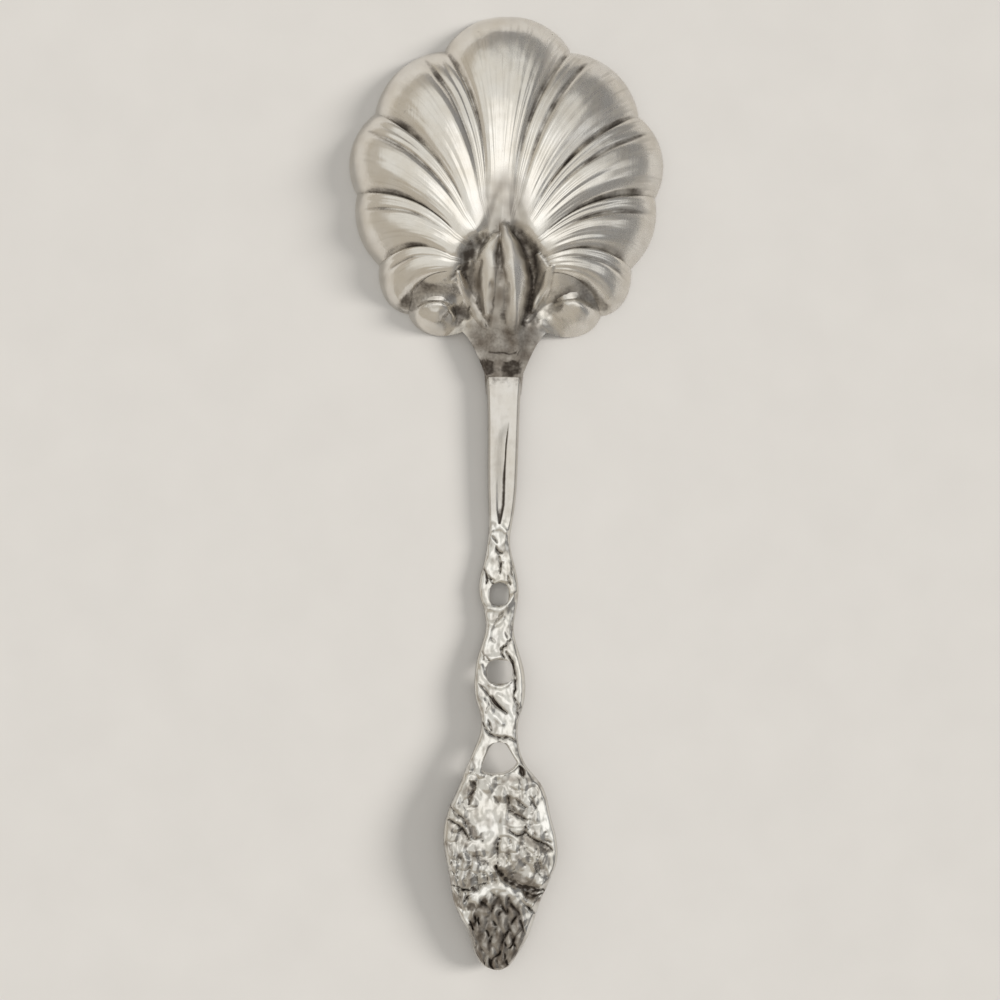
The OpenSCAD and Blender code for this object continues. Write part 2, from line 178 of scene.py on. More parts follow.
def make_mesh(name, points, quads, tris, marks, material):
    """A mesh object from points in millimetres, with its equal points joined."""
    key = np.round(points / JOIN).astype(np.int64)
    _, first, back = np.unique(key, axis=0, return_index=True, return_inverse=True)
    back = back.ravel()
    points = points[first]
    marks = {k: v[first] for k, v in marks.items()}
    quads, tris = back[quads], back[tris] if len(tris) else np.zeros((0, 3), int)
    same = quads == np.roll(quads, -1, 1)
    equal = same.sum(1)
    for i in range(4):
        tris = np.concatenate([tris, np.roll(quads, -1 - i, 1)[same[:, i] & (equal == 1), :3]])
    quads = quads[equal == 0]
    mesh = bpy.data.meshes.new(name)
    mesh.vertices.add(len(points))
    mesh.vertices.foreach_set("co", (points * MM).astype(np.float32).ravel())
    mesh.loops.add(quads.size + tris.size)
    mesh.loops.foreach_set("vertex_index", np.concatenate([quads.ravel(), tris.ravel()]).astype(np.int32))
    starts = np.concatenate([np.arange(len(quads)) * 4, len(quads) * 4 + np.arange(len(tris)) * 3])
    mesh.polygons.add(len(starts))
    mesh.polygons.foreach_set("loop_start", starts.astype(np.int32))
    mesh.update(calc_edges=True)
    mesh.validate()
    mesh.shade_smooth()
    mesh.set_sharp_from_angle(angle=SHARP_ANGLE)
    for k, v in marks.items():
        made = mesh.attributes.new(k, "FLOAT", "POINT")
        made.data.foreach_set("value", v.astype(np.float32))
    mesh.materials.append(material)
    return add_object(name, mesh)


# Materials


class Nodes:
    """Adds nodes to the tree of a material or a world. An input is a value or another node's output."""

    def __init__(self, tree):
        self.tree = tree

    def feed(self, node, inputs):
        for key, value in inputs.items():
            if isinstance(value, bpy.types.NodeSocket):
                self.tree.links.new(value, node.inputs[key])
            else:
                node.inputs[key].default_value = value

    def add(self, kind, inputs, **settings):
        node = self.tree.nodes.new("ShaderNode" + kind)
        for key, value in settings.items():
            setattr(node, key, value)
        self.feed(node, inputs)
        return node

    def where(self, output):
        return self.add("TexCoord", {}).outputs[output]

    def noise(self, vector, scale, detail, roughness=0.5):
        inputs = {"Vector": vector, "Scale": scale, "Detail": detail, "Roughness": roughness}
        return self.add("TexNoise", inputs).outputs["Fac"]

    def plus(self, a, b):
        return self.add("Math", {0: a, 1: b}, operation="ADD").outputs[0]

    def scaled(self, value, by, plus):
        return self.add("Math", {0: value, 1: by, 2: plus}, operation="MULTIPLY_ADD").outputs[0]

    def share(self, value, low, high, full=1.0, kind="SMOOTHSTEP"):
        """Rises from 0 where the value is low to full where it is high."""
        inputs = {"Value": value, "From Min": low, "From Max": high, "To Max": full}
        return self.add("MapRange", inputs, interpolation_type=kind).outputs["Result"]

    def mix(self, share, a, b):
        sides = {k: (*v, 1) if isinstance(v, tuple) else v for k, v in (("A", a), ("B", b))}
        return self.add("Mix", {"Factor": share, **sides}, data_type="RGBA").outputs["Result"]

    def ramp(self, share, *stops):
        node = self.add("ValToRGB", {"Fac": share})
        for element, (at, colour) in zip(node.color_ramp.elements, stops):
            element.position, element.color = at, (*colour, 1)
        return node.outputs["Color"]


def new_material(name):
    m = bpy.data.materials.new(name)
    m.use_nodes = True
    return m, m.node_tree.nodes["Principled BSDF"], Nodes(m.node_tree)


# Tones of cloudy silver, brown tarnish film and dark dirt. The film and dirt tones also serve as painted shade.
HAZED, FILM_AND_SHADE, DIRT_AND_SHADE = (0.9, 0.87, 0.82), (0.27, 0.235, 0.20), (0.075, 0.060, 0.050)


def silver(name, tone, scratch_turn, tarnish_share, satin):
    """Old polished silver: scratches, a cloudy sheen, and brown film and dark dirt where marked, which also carry
    painted shade.
    """
    m, shader, nodes = new_material(name)
    spot = nodes.where("Object")
    dark, film, brushed = (nodes.add("Attribute", {}, attribute_name=k).outputs["Fac"] for k in MARKS)
    cloud = nodes.noise(spot, 160, 5, 0.6)
    speck = nodes.noise(spot, 1500, 3)

    # Tarnish and painted shade: the dark mark, broken up by specks.
    mark = nodes.plus(dark, nodes.scaled(speck, 0.5, -0.25))
    tarnish_and_shade = nodes.share(mark, 0.18, 0.95, tarnish_share)

    haze = nodes.share(cloud, 0.35, 0.75, kind="LINEAR")
    metal = nodes.mix(haze, tone, tuple(t * h for t, h in zip(tone, HAZED)))
    # Brown film and dark dirt over the metal, both partly painted shade.
    colour = nodes.mix(tarnish_and_shade, nodes.mix(film, metal, FILM_AND_SHADE), DIRT_AND_SHADE)

    # Fine scratches in two directions.
    lines = []
    for turn, scale in ((scratch_turn, (2600, 130, 2600)), (scratch_turn + 63, (1700, 90, 1700))):
        spin = {"Vector": spot, "Rotation": (0, 0, math.radians(turn)), "Scale": scale}
        lines.append(nodes.noise(nodes.add("Mapping", spin).outputs["Vector"], 1.0, 4))
    both = nodes.plus(*lines)

    rough = nodes.scaled(both, 0.11, satin)
    for value, more in ((haze, 0.08), (tarnish_and_shade, 0.30), (film, 0.12), (brushed, 0.22)):
        rough = nodes.scaled(value, more, rough)
    bump = nodes.add("Bump", {"Strength": 0.2, "Distance": 0.00006, "Height": both}).outputs["Normal"]
    nodes.feed(shader, {"Base Color": colour, "Metallic": 1.0, "Roughness": rough, "Normal": bump})
    return m


def solder_metal():
    """Stained hard solder."""
    m, shader, nodes = new_material("solder_film")
    grain = nodes.noise(nodes.where("Object"), 900, 4)
    colour = nodes.ramp(grain, (0.3, (0.10, 0.085, 0.07)), (0.7, (0.45, 0.41, 0.36)))
    nodes.feed(shader, {"Base Color": colour, "Metallic": 1.0, "Roughness": nodes.scaled(grain, 0.3, 0.3)})
    return m


bowl_silver = silver("bowl_silver", (0.88, 0.86, 0.82), 20, 0.92, 0.03)
handle_silver = silver("handle_silver", (0.82, 0.815, 0.79), -12, 0.96, 0.03)

# Sizes shared with the solid model, in millimetres

BOWL_W, DEPTH, WALL = 75.6, 15.0, 1.1
NECK_L, NECK_W, NECK_T, NECK_Z, SCARF_L, SOLDER_T = 10.7, 8.4, 3.8, 0.6, 4.0, 0.15
ENDS = [26.8, 65, 97.4, 125.5, 145, 165]
RISES = [5.9, 2.1, 2.4, 1.4, 2.1, 2.4]
SCROLL, HEEL = ENDS[4], ENDS[5]
NECK_FROM, NECK_TO = 154, 170
SHANK_L, FIRST_EYE, EYE_PITCH = 36.5, 15.0, 19.0
FINIAL_L = 47.6
NOTCH_R = BOWL_W / 2 - RISES[2]


def notch_at(a):
    """Radius at the notches between the lobes, wider beside the scrolls."""
    a = np.abs(a)
    wider = smooth(122, SCROLL, a) - 0.85 * smooth(SCROLL, HEEL, a)
    return NOTCH_R + 0.035 * (a - 80) + 2.6 * wider


TIP_R = float(notch_at(0.0)) + RISES[0]
HEEL_Y = float(notch_at(HEEL)) * math.cos(math.radians(180 - HEEL))
HEEL_L = HEEL_Y + NECK_L
CORNER = 180 - math.degrees(math.atan(NECK_W / 2 / HEEL_L))
FINIAL_AT = SHANK_L + FIRST_EYE + 2 * EYE_PITCH + 4
HANDLE_L = FINIAL_AT + FINIAL_L
OVERALL = TIP_R + HEEL_L + SOLDER_T + HANDLE_L
BOWL_Y = OVERALL / 2 - TIP_R
SEAM_Y = BOWL_Y - HEEL_L
NECK_TOP = NECK_Z + NECK_T

# Places are given as the camera sees them, in thousandths of the picture.
CAMERA_UP, PICTURE_W, ROLL = 430.0, 240.25, math.radians(0.66)
CAMERA_AT = (-0.58, -2.04)
SENSOR_W = 36
# Rows of the picture, and the height of the spoon's back there
SEEN_ROWS = [330, 375, 540, 600, 680, 760, 850, 970]
SEEN_HEIGHTS = [12, 4.0, 3.4, 4.0, 5.2, 6.6, 8.6, 5.4]


def place(points, up=0.0):
    """From (column, row) seen by the camera to millimetres across and along the handle."""
    p = np.atleast_2d(np.array(points, float))
    z = np.interp(p[:, 1], SEEN_ROWS, SEEN_HEIGHTS) + up
    k = PICTURE_W / 1000 * (1 - z / CAMERA_UP)
    u, v = (p[:, 0] - 500) * k, (500 - p[:, 1]) * k
    x = CAMERA_AT[0] + u * math.cos(ROLL) - v * math.sin(ROLL)
    y = CAMERA_AT[1] + u * math.sin(ROLL) + v * math.cos(ROLL)
    return np.stack([x, SEAM_Y - SOLDER_T - y], 1)


def zoomed(column, row, zoom):
    """place() for points that were read in an enlarged part of the picture."""
    return lambda *points: place([(column + x / zoom, row + y / zoom) for x, y in points])


stem = zoomed(430, 500, 5.6)
leaf = zoomed(425, 740, 6.533)
close = zoomed(440, 725, 13.07)
bowl_part = zoomed(340, 10, 4.48)


def shell(*points):
    """Places on the bowl, from the bowl's own middle."""
    p = bowl_part(*points)
    return np.stack([p[:, 0], SEAM_Y - SOLDER_T - p[:, 1] - BOWL_Y], 1)


def drawn(seen, numbers, rows):
    """Rows of a table: some numbers, and then the places, which become one list in millimetres."""
    return [(*row[:numbers], seen(*row[numbers:])) for row in rows]


# The bowl


def sind(a):
    return np.sin(np.radians(a))


def cosd(a):
    return np.cos(np.radians(a))


def lobe_of(a):
    """Number of the lobe at an angle from the tip, the same on both sides."""
    return np.searchsorted(np.array(ENDS[:5]), np.abs(a) - 1e-9)


def lobe_share(a, i):
    """Share of the way across lobe i."""
    low = np.array([-ENDS[0]] + ENDS[:5])[i]
    high = np.array(ENDS)[i]
    v = np.where(i == 0, a, np.abs(a))
    return np.clip((v - low) / (high - low), 0, 1)


def outline_r(a):
    """Radius of the rim, the heel and the neck at an angle from the tip."""
    b = np.abs(a)
    i = lobe_of(a)
    lobed = notch_at(a) + np.array(RISES)[i] * sind(180 * lobe_share(a, i)) ** 0.8
    start = notch_at(HEEL) * np.array([sind(HEEL), cosd(HEEL)])
    run = np.array([NECK_W / 2, -HEEL_L]) - start
    side = (start[0] * run[1] - start[1] * run[0]) / (sind(b) * run[1] - cosd(b) * run[0])
    side = side - sind(180 * (b - HEEL) / (CORNER - HEEL))
    end = HEEL_L / np.maximum(0.1, cosd(180 - b))
    return np.where(b <= HEEL, lobed, np.where(b < CORNER, side, end))


def even_r(a):
    """The same radius without its lobes."""
    b = np.abs(a)
    return np.where(b > HEEL, outline_r(a), notch_at(a) + RISES[2] * (1 - smooth(SCROLL, HEEL, b)))


# The oval that the flutes start from
ROOT_X, ROOT_Y, ROOT_W, ROOT_UP, ROOT_DOWN = -1.3, 14.3 - HEEL_Y, 23.0, 17.3, 13.0
ROOT_SHARE, ROOT_TURN, BOW = 0.3, 0.65, 6.0


def plan(a, v):
    """Place in plan of share v of the way from the middle of the root to the rim at angle a."""
    b = np.abs(a)
    past = np.maximum(0, b - SCROLL) / (180 - SCROLL)
    turn = np.sign(a) * (ROOT_TURN * np.minimum(b, SCROLL) + past * (180 - ROOT_TURN * SCROLL))
    kx = ROOT_X + ROOT_W / 2 * sind(turn)
    ky = ROOT_Y + np.where(np.abs(turn) < 90, ROOT_UP, ROOT_DOWN) * cosd(turn)
    r = outline_r(a)
    px, py = r * sind(a), r * cosd(a)
    n = np.hypot(px - kx, py - ky)
    ax, ay = (px - kx) / n, (py - ky) / n
    bow = BOW * np.sign(a) * smooth(0, ENDS[0], b) * (1 - smooth(SCROLL, NECK_TO, b))
    qx, qy = (kx + px) / 2 - bow * ay, (ky + py) / 2 + bow * ax
    t = (v - ROOT_SHARE) / (1 - ROOT_SHARE)
    fx = kx * (1 - t) ** 2 + qx * 2 * t * (1 - t) + px * t * t
    fy = ky * (1 - t) ** 2 + qy * 2 * t * (1 - t) + py * t * t
    s = v / ROOT_SHARE
    root = v <= ROOT_SHARE
    x = np.where(root, ROOT_X + (kx - ROOT_X) * s, fx)
    y = np.where(root, ROOT_Y + (ky - ROOT_Y) * s, fy)
    return x, y


# Across a flute: the middle one is a broad fan. The others have two ribs, a steep side, a crest and a long fall.
FAN = [
    (0, 0), (0.03, 0.28), (0.08, 0.62), (0.16, 0.84), (0.3, 0.95), (0.5, 1),
    (0.7, 0.95), (0.84, 0.84), (0.92, 0.62), (0.97, 0.28), (1, 0),
]
FLUTE = [
    (0, 0), (0.035, 0.3), (0.08, 0.38), (0.12, 0.24), (0.16, 0.42), (0.205, 0.44), (0.25, 0.2), (0.32, 0.66),
    (0.4, 0.9), (0.5, 1), (0.62, 0.96), (0.76, 0.78), (0.88, 0.48), (0.955, 0.22), (1, 0),
]
# For each lobe: its height, and the dirt in the notch after it
FLUTE_SIZES = np.array([0.9, 1.0, 0.95, 0.85, 0.7, 0])
NOTCH_DIRT = np.array([0.35, 0.45, 0.9, 0.5, 0.8, 0])
FLUTE_H, RIB_AT = 2.5, 0.25


def flutes(a, v):
    """Height of the flutes, and the dirt in their notches and beside their ribs."""
    b = np.abs(a)
    i = lobe_of(a)
    t = lobe_share(a, i)
    edge = np.minimum(t, 1 - t)
    sway = t + 0.02 * noise(v * 5 + 7 * i, i * 3.3 + 0.5 + (a > 0), 5) * smooth(0, 0.12, edge)
    h = np.where(i == 0, curve(FAN, sway, 0.016), curve(FLUTE, sway, 0.008))
    reach = 0.10 + 0.90 * smooth(ROOT_SHARE - 0.06, 0.82, v)
    reach = reach * smooth(ROOT_SHARE * 0.55, ROOT_SHARE * 1.05, v)
    h = np.where(b > SCROLL, 0.6 * smooth(SCROLL, SCROLL + 6, b), h)
    size = np.where(b > SCROLL, 0.7 * (1 - smooth(SCROLL + 6, SCROLL + 14, b)), FLUTE_SIZES[i])
    near = np.where(t < 0.5, np.maximum(i - 1, 0), i)
    line = NOTCH_DIRT[near] * np.exp(-((edge / 0.03) ** 2))
    line = line + 0.45 * np.exp(-(((sway - RIB_AT) / 0.018) ** 2)) * (i > 0)
    line = np.where(b > SCROLL, 0, line) * smooth(0.3, 0.36, v)
    return FLUTE_H * size * (h - 0.6) * reach, line


# Knobs of the scrolls: half sizes, turn, height, and place
KNOBS = drawn(shell, 4, [(5.4, 4.4, 12, 1.3, (414, 1374)), (7.2, 4.6, 4, 1.2, (1026, 1374))])
# Hollows of the scrolls and of the calyx: half width, depth, darkening (painted shade in the scrolls, dirt in the
# calyx), and the way each one runs
SCROLL_HOLLOWS = drawn(shell, 3, [
    (3.4, 1.7, 0.55, (262, 1312), (320, 1284), (400, 1268), (505, 1266)),
    (1.8, 0.5, 0.55, (276, 1284), (330, 1252), (400, 1236), (505, 1232)),
    (3.0, 1.5, 0.5, (940, 1336), (985, 1274), (1060, 1248), (1150, 1280), (1196, 1314)),
    (1.6, 0.4, 0.7, (960, 1296), (1000, 1268), (1056, 1260)),
    (1.8, 0.3, 0.55, (1110, 1266), (1160, 1296)),
    (2.6, 1.3, 0.8, (520, 1326), (562, 1352)),
    (1.8, 0.8, 0.6, (866, 1330), (880, 1380)),
    (1.6, 0.5, 0.4, (430, 1460), (520, 1425), (560, 1404)),
])
HOLLOWS = drawn(shell, 3, [
    (2.4, 1.3, 0.95, (640, 1020), (580, 1070), (562, 1150), (596, 1260), (628, 1370)),
    (2.4, 1.3, 0.95, (784, 990), (834, 1058), (886, 1110), (900, 1200), (866, 1290), (826, 1396)),
    (0.8, 0.5, 0.9, (628, 1120), (612, 1220), (636, 1340)),
    (0.9, 0.6, 0.95, (846, 1120), (862, 1210), (838, 1330)),
    (1.6, 0.5, 0.75, (714, 1060), (716, 1150)),
    (1.1, 0.2, 0.5, (715, 1110), (718, 1220)),
    (0.9, 0.5, 0.65, (678, 1220), (664, 1400)),
    (0.9, 0.5, 0.65, (752, 1220), (766, 1420)),
    (0.8, 0.5, 0.7, (536, 1150), (500, 1196), (470, 1206)),
])
# Petals of the calyx: half width, height, how clean they are, and the way each one runs
PETALS = drawn(shell, 3, [
    (2.7, 1.3, 0.9, (700, 1020), (660, 1084), (646, 1180), (646, 1270), (656, 1350)),
    (3.3, 1.5, 0.9, (738, 985), (772, 1080), (802, 1180), (804, 1260), (788, 1340), (772, 1420)),
    (1.5, 1.1, 0.75, (530, 1170), (570, 1270), (608, 1340), (644, 1406)),
    (1.4, 0.8, 0.6, (944, 1150), (926, 1220), (888, 1300), (846, 1376)),
    (1.7, 1.1, 0.45, (886, 1096), (914, 1160), (904, 1240), (866, 1330)),
    (1.0, 0.5, 0.35, (590, 1120), (576, 1190), (606, 1290)),
])


def scrolls(x, y):
    """Height and painted shade of the two scrolls beside the heel."""
    z, dark = np.zeros_like(x), np.zeros_like(x)
    for wide, long, turn, high, (at,) in KNOBS:
        o = oval(x, y, at, wide, long, turn)
        z = z + high * smooth(-0.25, 0.45, o) + 0.22 * smooth(0, 0.6, o) * noise(x / 2.4, y / 2.0, 17)
    for half, deep, share, points in SCROLL_HOLLOWS:
        g = groove(x, y, points, half)
        z = z - deep * g
        # Painted shade along each hollow of the scrolls.
        dark = most(dark, share * g)
    return z, dark


def calyx(x, y):
    """Height and dirt of the petals at the heel."""
    z, dark = np.zeros_like(x), np.zeros_like(x)
    x, y = x + 0.26 * noise(x / 2.6, y / 3.0, 23), y + 0.35 * noise(x / 2.4 + 8, y / 2.8, 24)
    patchy = 0.85 + 0.4 * noise(x / 1.6, y / 1.6, 25)
    jagged = 0.3 * noise(x / 0.9, y / 1.1, 28)
    for half, deep, share, points in HOLLOWS:
        z = z - deep * groove(x, y, points, half)
        dark = most(dark, share * groove(x + jagged, y + jagged, points, half) ** 0.8 * patchy)
    for half, high, clean, points in PETALS:
        p = body(x, y, points, half)
        z = z + high * p
        dark = dark * (1 - clean * smooth(0.2, 0.7, p))
    return z, dark


CROSS_AT, CROSS_HALF, CROSS_END = 5.6, 0.35, 4.4


def bowl_marks(a, v, x, y, rho, ornament):
    """Dirt, film, painted shade and brushed places of the bowl, where ornament is what flutes, scrolls and calyx
    give.
    """
    line, scroll_shade, recess, c = ornament

    def spot(at, half_x, half_y, low, high, turn=0.0):
        return smooth(low, high, oval(x, y, shell(at)[0], half_x, half_y, turn))

    torn = [x + 0.7 * noise(x / 1.7, y / 1.7, 26), y + 0.7 * noise(x / 1.7 + 5, y / 1.7, 27)]
    blot = np.maximum(
        smooth(-0.2, 0.5, oval(*torn, shell((652, 1600))[0], 2.1, 2.3)),
        smooth(-0.2, 0.5, oval(*torn, shell((768, 1606))[0], 2.8, 2.3, 15)),
    )
    blot = 0.85 * blot * (0.84 + 0.16 * smooth(-0.5, 0.2, noise(x / 1.4, y / 1.2, 11)))
    off = y + HEEL_L - CROSS_AT - 0.5 * noise(x / 2.5, 0 * x, 20)
    cross = 0.8 * np.exp(-((off / CROSS_HALF) ** 2)) * smooth(CROSS_END, CROSS_END - 1, np.abs(x))
    spots = 0.42 * smooth(0.25, 0.8, noise(x / 1.3, y / 1.3, 13))
    spots = spots * smooth(0.1, 0.7, noise(x / 9 + 4, y / 9, 14))
    heel = 0.95 * smooth(-HEEL_Y + 7.0, -HEEL_Y - 1.0, y) * smooth(11.0, 7.0, np.abs(x))
    lines = line * (1 - 0.6 * smooth(0.6, 0.95, v))
    dark = most(lines, scroll_shade, recess, blot, cross, spots, 0.46 * heel)

    right = smooth(-2, 12, x)
    mottle = 0.8 + 0.4 * noise(x / 2.6, y / 2.6, 15)
    root = 0.62 * spot((742, 890), 6.5, 10.0, -0.2, 0.8)
    dim = 0.26 * spot((1130, 420), 20, 16, -0.1, 0.8, -40)
    streaks = smooth(0.0, 0.8, noise(a * 0.9, v * 5, 18) + 0.6 * noise(a * 2.3, v * 9, 19))
    streaks = streaks * smooth(ROOT_SHARE, 0.5, v)
    # A dimmer band along the rim: painted darker reflection.
    rim = 0.26 * smooth(0.88, 0.97, rho)
    column = 0.7 * groove(x, y, shell((716, 1190), (716, 1320), (722, 1500)), 2.2)
    sepal = spot((740, 1220), 10.5, 12, -0.2, 0.6)
    # Painted shade in the low places of the calyx, put into the film mark.
    shade = 0.85 * sepal * smooth(1.0, 0.2, c)
    streaky = [dim * (0.6 + streaks), (0.16 + 0.14 * right) * streaks]
    film = most(shade, heel, root, *streaky, 0.55 * scroll_shade, 0.5 * recess, rim, column)
    patch = spot((830, 205), 9, 5.5, -0.2, 0.6)
    streaky = [right * (0.35 + 0.65 * streaks), patch * (0.4 + 0.6 * streaks)]
    brushed = most(*streaky, heel, 1.3 * root, 0.6 * sepal)
    return dark, film * mottle, brushed


def sheet(a, v, inner):
    """Points, marks and ornament height of one side of the bowl."""
    x, y = plan(a, v)
    b = np.degrees(np.arctan2(x, y))
    n = smooth(NECK_FROM, NECK_TO, np.abs(b))
    r = outline_r(a)
    lobed = 1 + (r / even_r(a) - 1) * smooth(0.45, 1, v)
    rho = np.where(v >= 1, 1, np.hypot(x, y) / (even_r(b) * lobed))
    rise = np.maximum(0, 1 - np.minimum(1, rho) ** 2.4) ** (0.6 + 1.4 * n)
    low = n * (NECK_Z if inner else NECK_TOP)
    high = DEPTH - (WALL if inner else 0)
    fade = 1 - np.minimum(1, rho) ** 6
    f, line = flutes(a, v)
    s, scroll_shade = scrolls(x, y)
    c, recess = calyx(x, y)
    if inner:
        f, s, c = 0.8 * f, 0.5 * s, 0.45 * c
    wave = 0.07 * noise(x / 5 + 9, y / 5, 3) + 0.018 * noise(x / 1.7, y / 1.7, 4)
    chased = (0.10 + 0.20 * smooth(-2, 12, x)) * noise(a * 0.28, v * 2.0, 21) + 0.03 * noise(a * 0.7, v * 3.5, 22)
    wave = wave * smooth(0.05, 0.3, v) + chased * smooth(ROOT_SHARE, 0.5, v)
    h = (f + c + wave) * fade + s * (1 - np.minimum(1, rho) ** 14)
    z = low + (high - low) * rise + h
    set_in = 1 - WALL * (1 - smooth(NECK_FROM, NECK_TO, np.abs(a))) / r if inner else 1.0
    lean = -SCARF_L * smooth(0.8, 1, v) * (np.abs(a) >= CORNER - 1e-6) if inner else 0.0
    dark, film, brushed = bowl_marks(a, v, x, y, rho, (line, scroll_shade, recess, c))
    if inner:
        dark, film = 0.6 * dark, 0.6 * film + 0.12
    marks = {k: np.clip(m, 0, 1) for k, m in zip(MARKS, (dark, film, brushed))}
    return np.stack([x * set_in, y * set_in + lean, np.maximum(z, 0)], -1), marks, h


LOBE_COLUMNS = [52, 64, 56, 50, 34, 46]
HEEL_COLUMNS, NECK_COLUMNS = 15, 6


def columns():
    """Angles of the bowl's columns, all the way round."""
    half = [a + (b - a) * np.arange(n) / n for a, b, n in zip([0, *ENDS], ENDS, LOBE_COLUMNS)]
    half.append(np.linspace(HEEL, CORNER, HEEL_COLUMNS))
    half.append(CORNER + (180 - CORNER) * np.arange(1, NECK_COLUMNS) / NECK_COLUMNS)
    half = np.concatenate(half)
    return np.concatenate([-half[:0:-1], half, [180]])


def ring_quads(first, second, n):
    """Faces between two closed rings of n points."""
    i = np.arange(n)
    j = (i + 1) % n
    return np.stack([first + i, second + i, second + j, first + j], 1)


def rings(in_root, outside):
    """Shares of the way to the rim: even steps in the root, and closer ones towards the rim."""
    t = np.arange(1, outside + 1) / outside
    rest = ROOT_SHARE + (1 - ROOT_SHARE) * (1 - (1 - t) ** 1.5)
    return np.concatenate([ROOT_SHARE * np.arange(1, in_root + 1) / in_root, rest])


def make_bowl():
    a = columns()
    n = len(a)
    points, quads, tris, rims = [], [], [], []
    marks = {k: [] for k in MARKS}
    start = 0
    for rows, inner in ((rings(36, 76), False), (rings(10, 26), True)):
        p, m, h = sheet(a[None, :] + 0 * rows[:, None], rows[:, None] + 0 * a[None, :], inner)
        if not inner:
            patchy = 0.7 + 0.5 * noise(p[..., 0] / 4, p[..., 1] / 4, 16)
            sunk = smooth(0.05, 0.32, hollow_of(h, 2.5, 7, True)) * patchy
            m["dark"], m["film"] = most(m["dark"], 0.72 * sunk), most(m["film"], 0.5 * sunk)
        top, m_top, _ = sheet(np.array([0.0]), np.array([1e-6]), inner)
        points += [p.reshape(-1, 3), top]
        for k in marks:
            marks[k] += [m[k].ravel(), m_top[k]]
        pole = start + n * len(rows)
        i = np.arange(n)
        fan = np.stack([np.full(n, pole), start + (i + 1) % n, start + i], 1)
        steps = range(len(rows) - 1)
        q = np.concatenate([ring_quads(start + r * n, start + (r + 1) * n, n) for r in steps])
        tris.append(fan[:, ::-1] if inner else fan)
        quads.append(q[:, ::-1] if inner else q)
        rims.append(start + (len(rows) - 1) * n)
        start = pole + 1
    quads.append(ring_quads(rims[0], rims[1], n))
    points = np.concatenate(points) + [0, BOWL_Y, 0]
    quads = np.concatenate(quads)[:, ::-1]
    marks = {k: np.concatenate(v) for k, v in marks.items()}
    return make_mesh("bowl_shell", points, quads, np.concatenate(tris), marks, bowl_silver)


bowl = make_bowl()
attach(bowl, "root")
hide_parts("bowl")

# The handle

EDGE_LEFT = np.concatenate([
    [(-4.2, 0), (-3.95, 4), (-3.75, 10), (-3.68, 19), (-3.6, 26)],
    place([(488, 500)], -1.7),
    stem(
        (328, 100), (327, 180), (317, 260), (304, 340), (288, 400), (275, 450), (271, 500), (279, 550),
        (300, 610), (312, 680), (310, 740), (295, 790), (275, 850), (260, 900), (252, 960), (246, 1030),
        (248, 1080), (258, 1130), (275, 1180), (288, 1240), (284, 1290), (270, 1340), (245, 1400),
        (220, 1460), (196, 1510),
    ),
    leaf(
        (240, 260), (205, 340), (175, 400), (158, 440), (138, 500), (124, 560), (117, 620), (119, 690),
        (130, 760), (144, 830), (155, 890), (165, 940), (175, 1010), (190, 1080), (214, 1140), (240, 1190),
        (266, 1240), (288, 1290), (304, 1350), (322, 1400), (350, 1450), (386, 1484), (430, 1502), (478, 1509),
    ),
])
EDGE_RIGHT = np.concatenate([
    [(4.2, 0), (3.95, 4), (3.8, 10), (3.6, 19), (3.4, 26)],
    place([(515.5, 500)], -1.7),
    stem(
        (472, 60), (460, 130), (448, 200), (448, 260), (460, 320), (479, 390), (491, 450), (497, 510),
        (492, 570), (480, 630), (470, 690), (468, 740), (480, 800), (500, 860), (515, 910), (529, 970),
        (535, 1040), (531, 1110), (519, 1170), (500, 1220), (490, 1270), (489, 1310), (495, 1370),
        (506, 1420), (526, 1470), (556, 1520),
    ),
    leaf(
        (680, 190), (720, 245), (764, 295), (790, 360), (805, 420), (816, 480), (830, 540), (845, 590),
        (856, 640), (865, 700), (868, 760), (861, 810), (842, 860), (820, 910), (800, 960), (778, 1005),
        (755, 1060), (735, 1110), (721, 1160), (703, 1210), (688, 1260), (666, 1310), (642, 1350),
        (618, 1390), (588, 1440), (550, 1485), (516, 1502), (478, 1509),
    ),
])
END_D = HANDLE_L - 0.05
EDGE_LEFT[-1] = EDGE_RIGHT[-1] = (EDGE_LEFT[-1][0], END_D)


def edge(table, d):
    """Across position of an edge, rounded off between its stations."""
    fine = np.linspace(-3, END_D, 2400)
    x = np.interp(fine, table[:, 1], table[:, 0])
    step = fine[1] - fine[0]
    n = int(2.4 / step)
    k = np.exp(-0.5 * (np.arange(-n, n + 1) * step / 0.7) ** 2)
    soft = np.convolve(np.pad(x, n, mode="edge"), k / k.sum(), "valid")
    keep = smooth(END_D - 5, END_D - 1.5, fine)
    return np.interp(d, fine, soft * (1 - keep) + x * keep)


# The eyes: the first two are ovals with a start, an end and a half width, and the last has two drawn sides.
eye_1 = stem((389, 467), (389, 592))
eye_2 = stem((392, 897), (392, 1030))
last_left = close(
    (780, 225), (722, 235), (682, 262), (630, 340), (592, 420), (564, 500), (553, 560), (557, 592),
    (600, 630), (680, 640),
)
last_right = close(
    (780, 225), (838, 238), (874, 274), (920, 350), (968, 430), (1006, 486), (1003, 500), (960, 560),
    (880, 610), (780, 634), (680, 640),
)
LAST_START, LAST_END = last_left[0, 1], last_left[-1, 1]
EYES = [(eye_1[0, 1], eye_1[1, 1]), (eye_2[0, 1], eye_2[1, 1]), (LAST_START, LAST_END)]
EYE_X = [float(eye_1[0, 0]), float(eye_2[0, 0])]
EYE_HALF = [2.2, 3.02]
EYE_POWER = 3.4
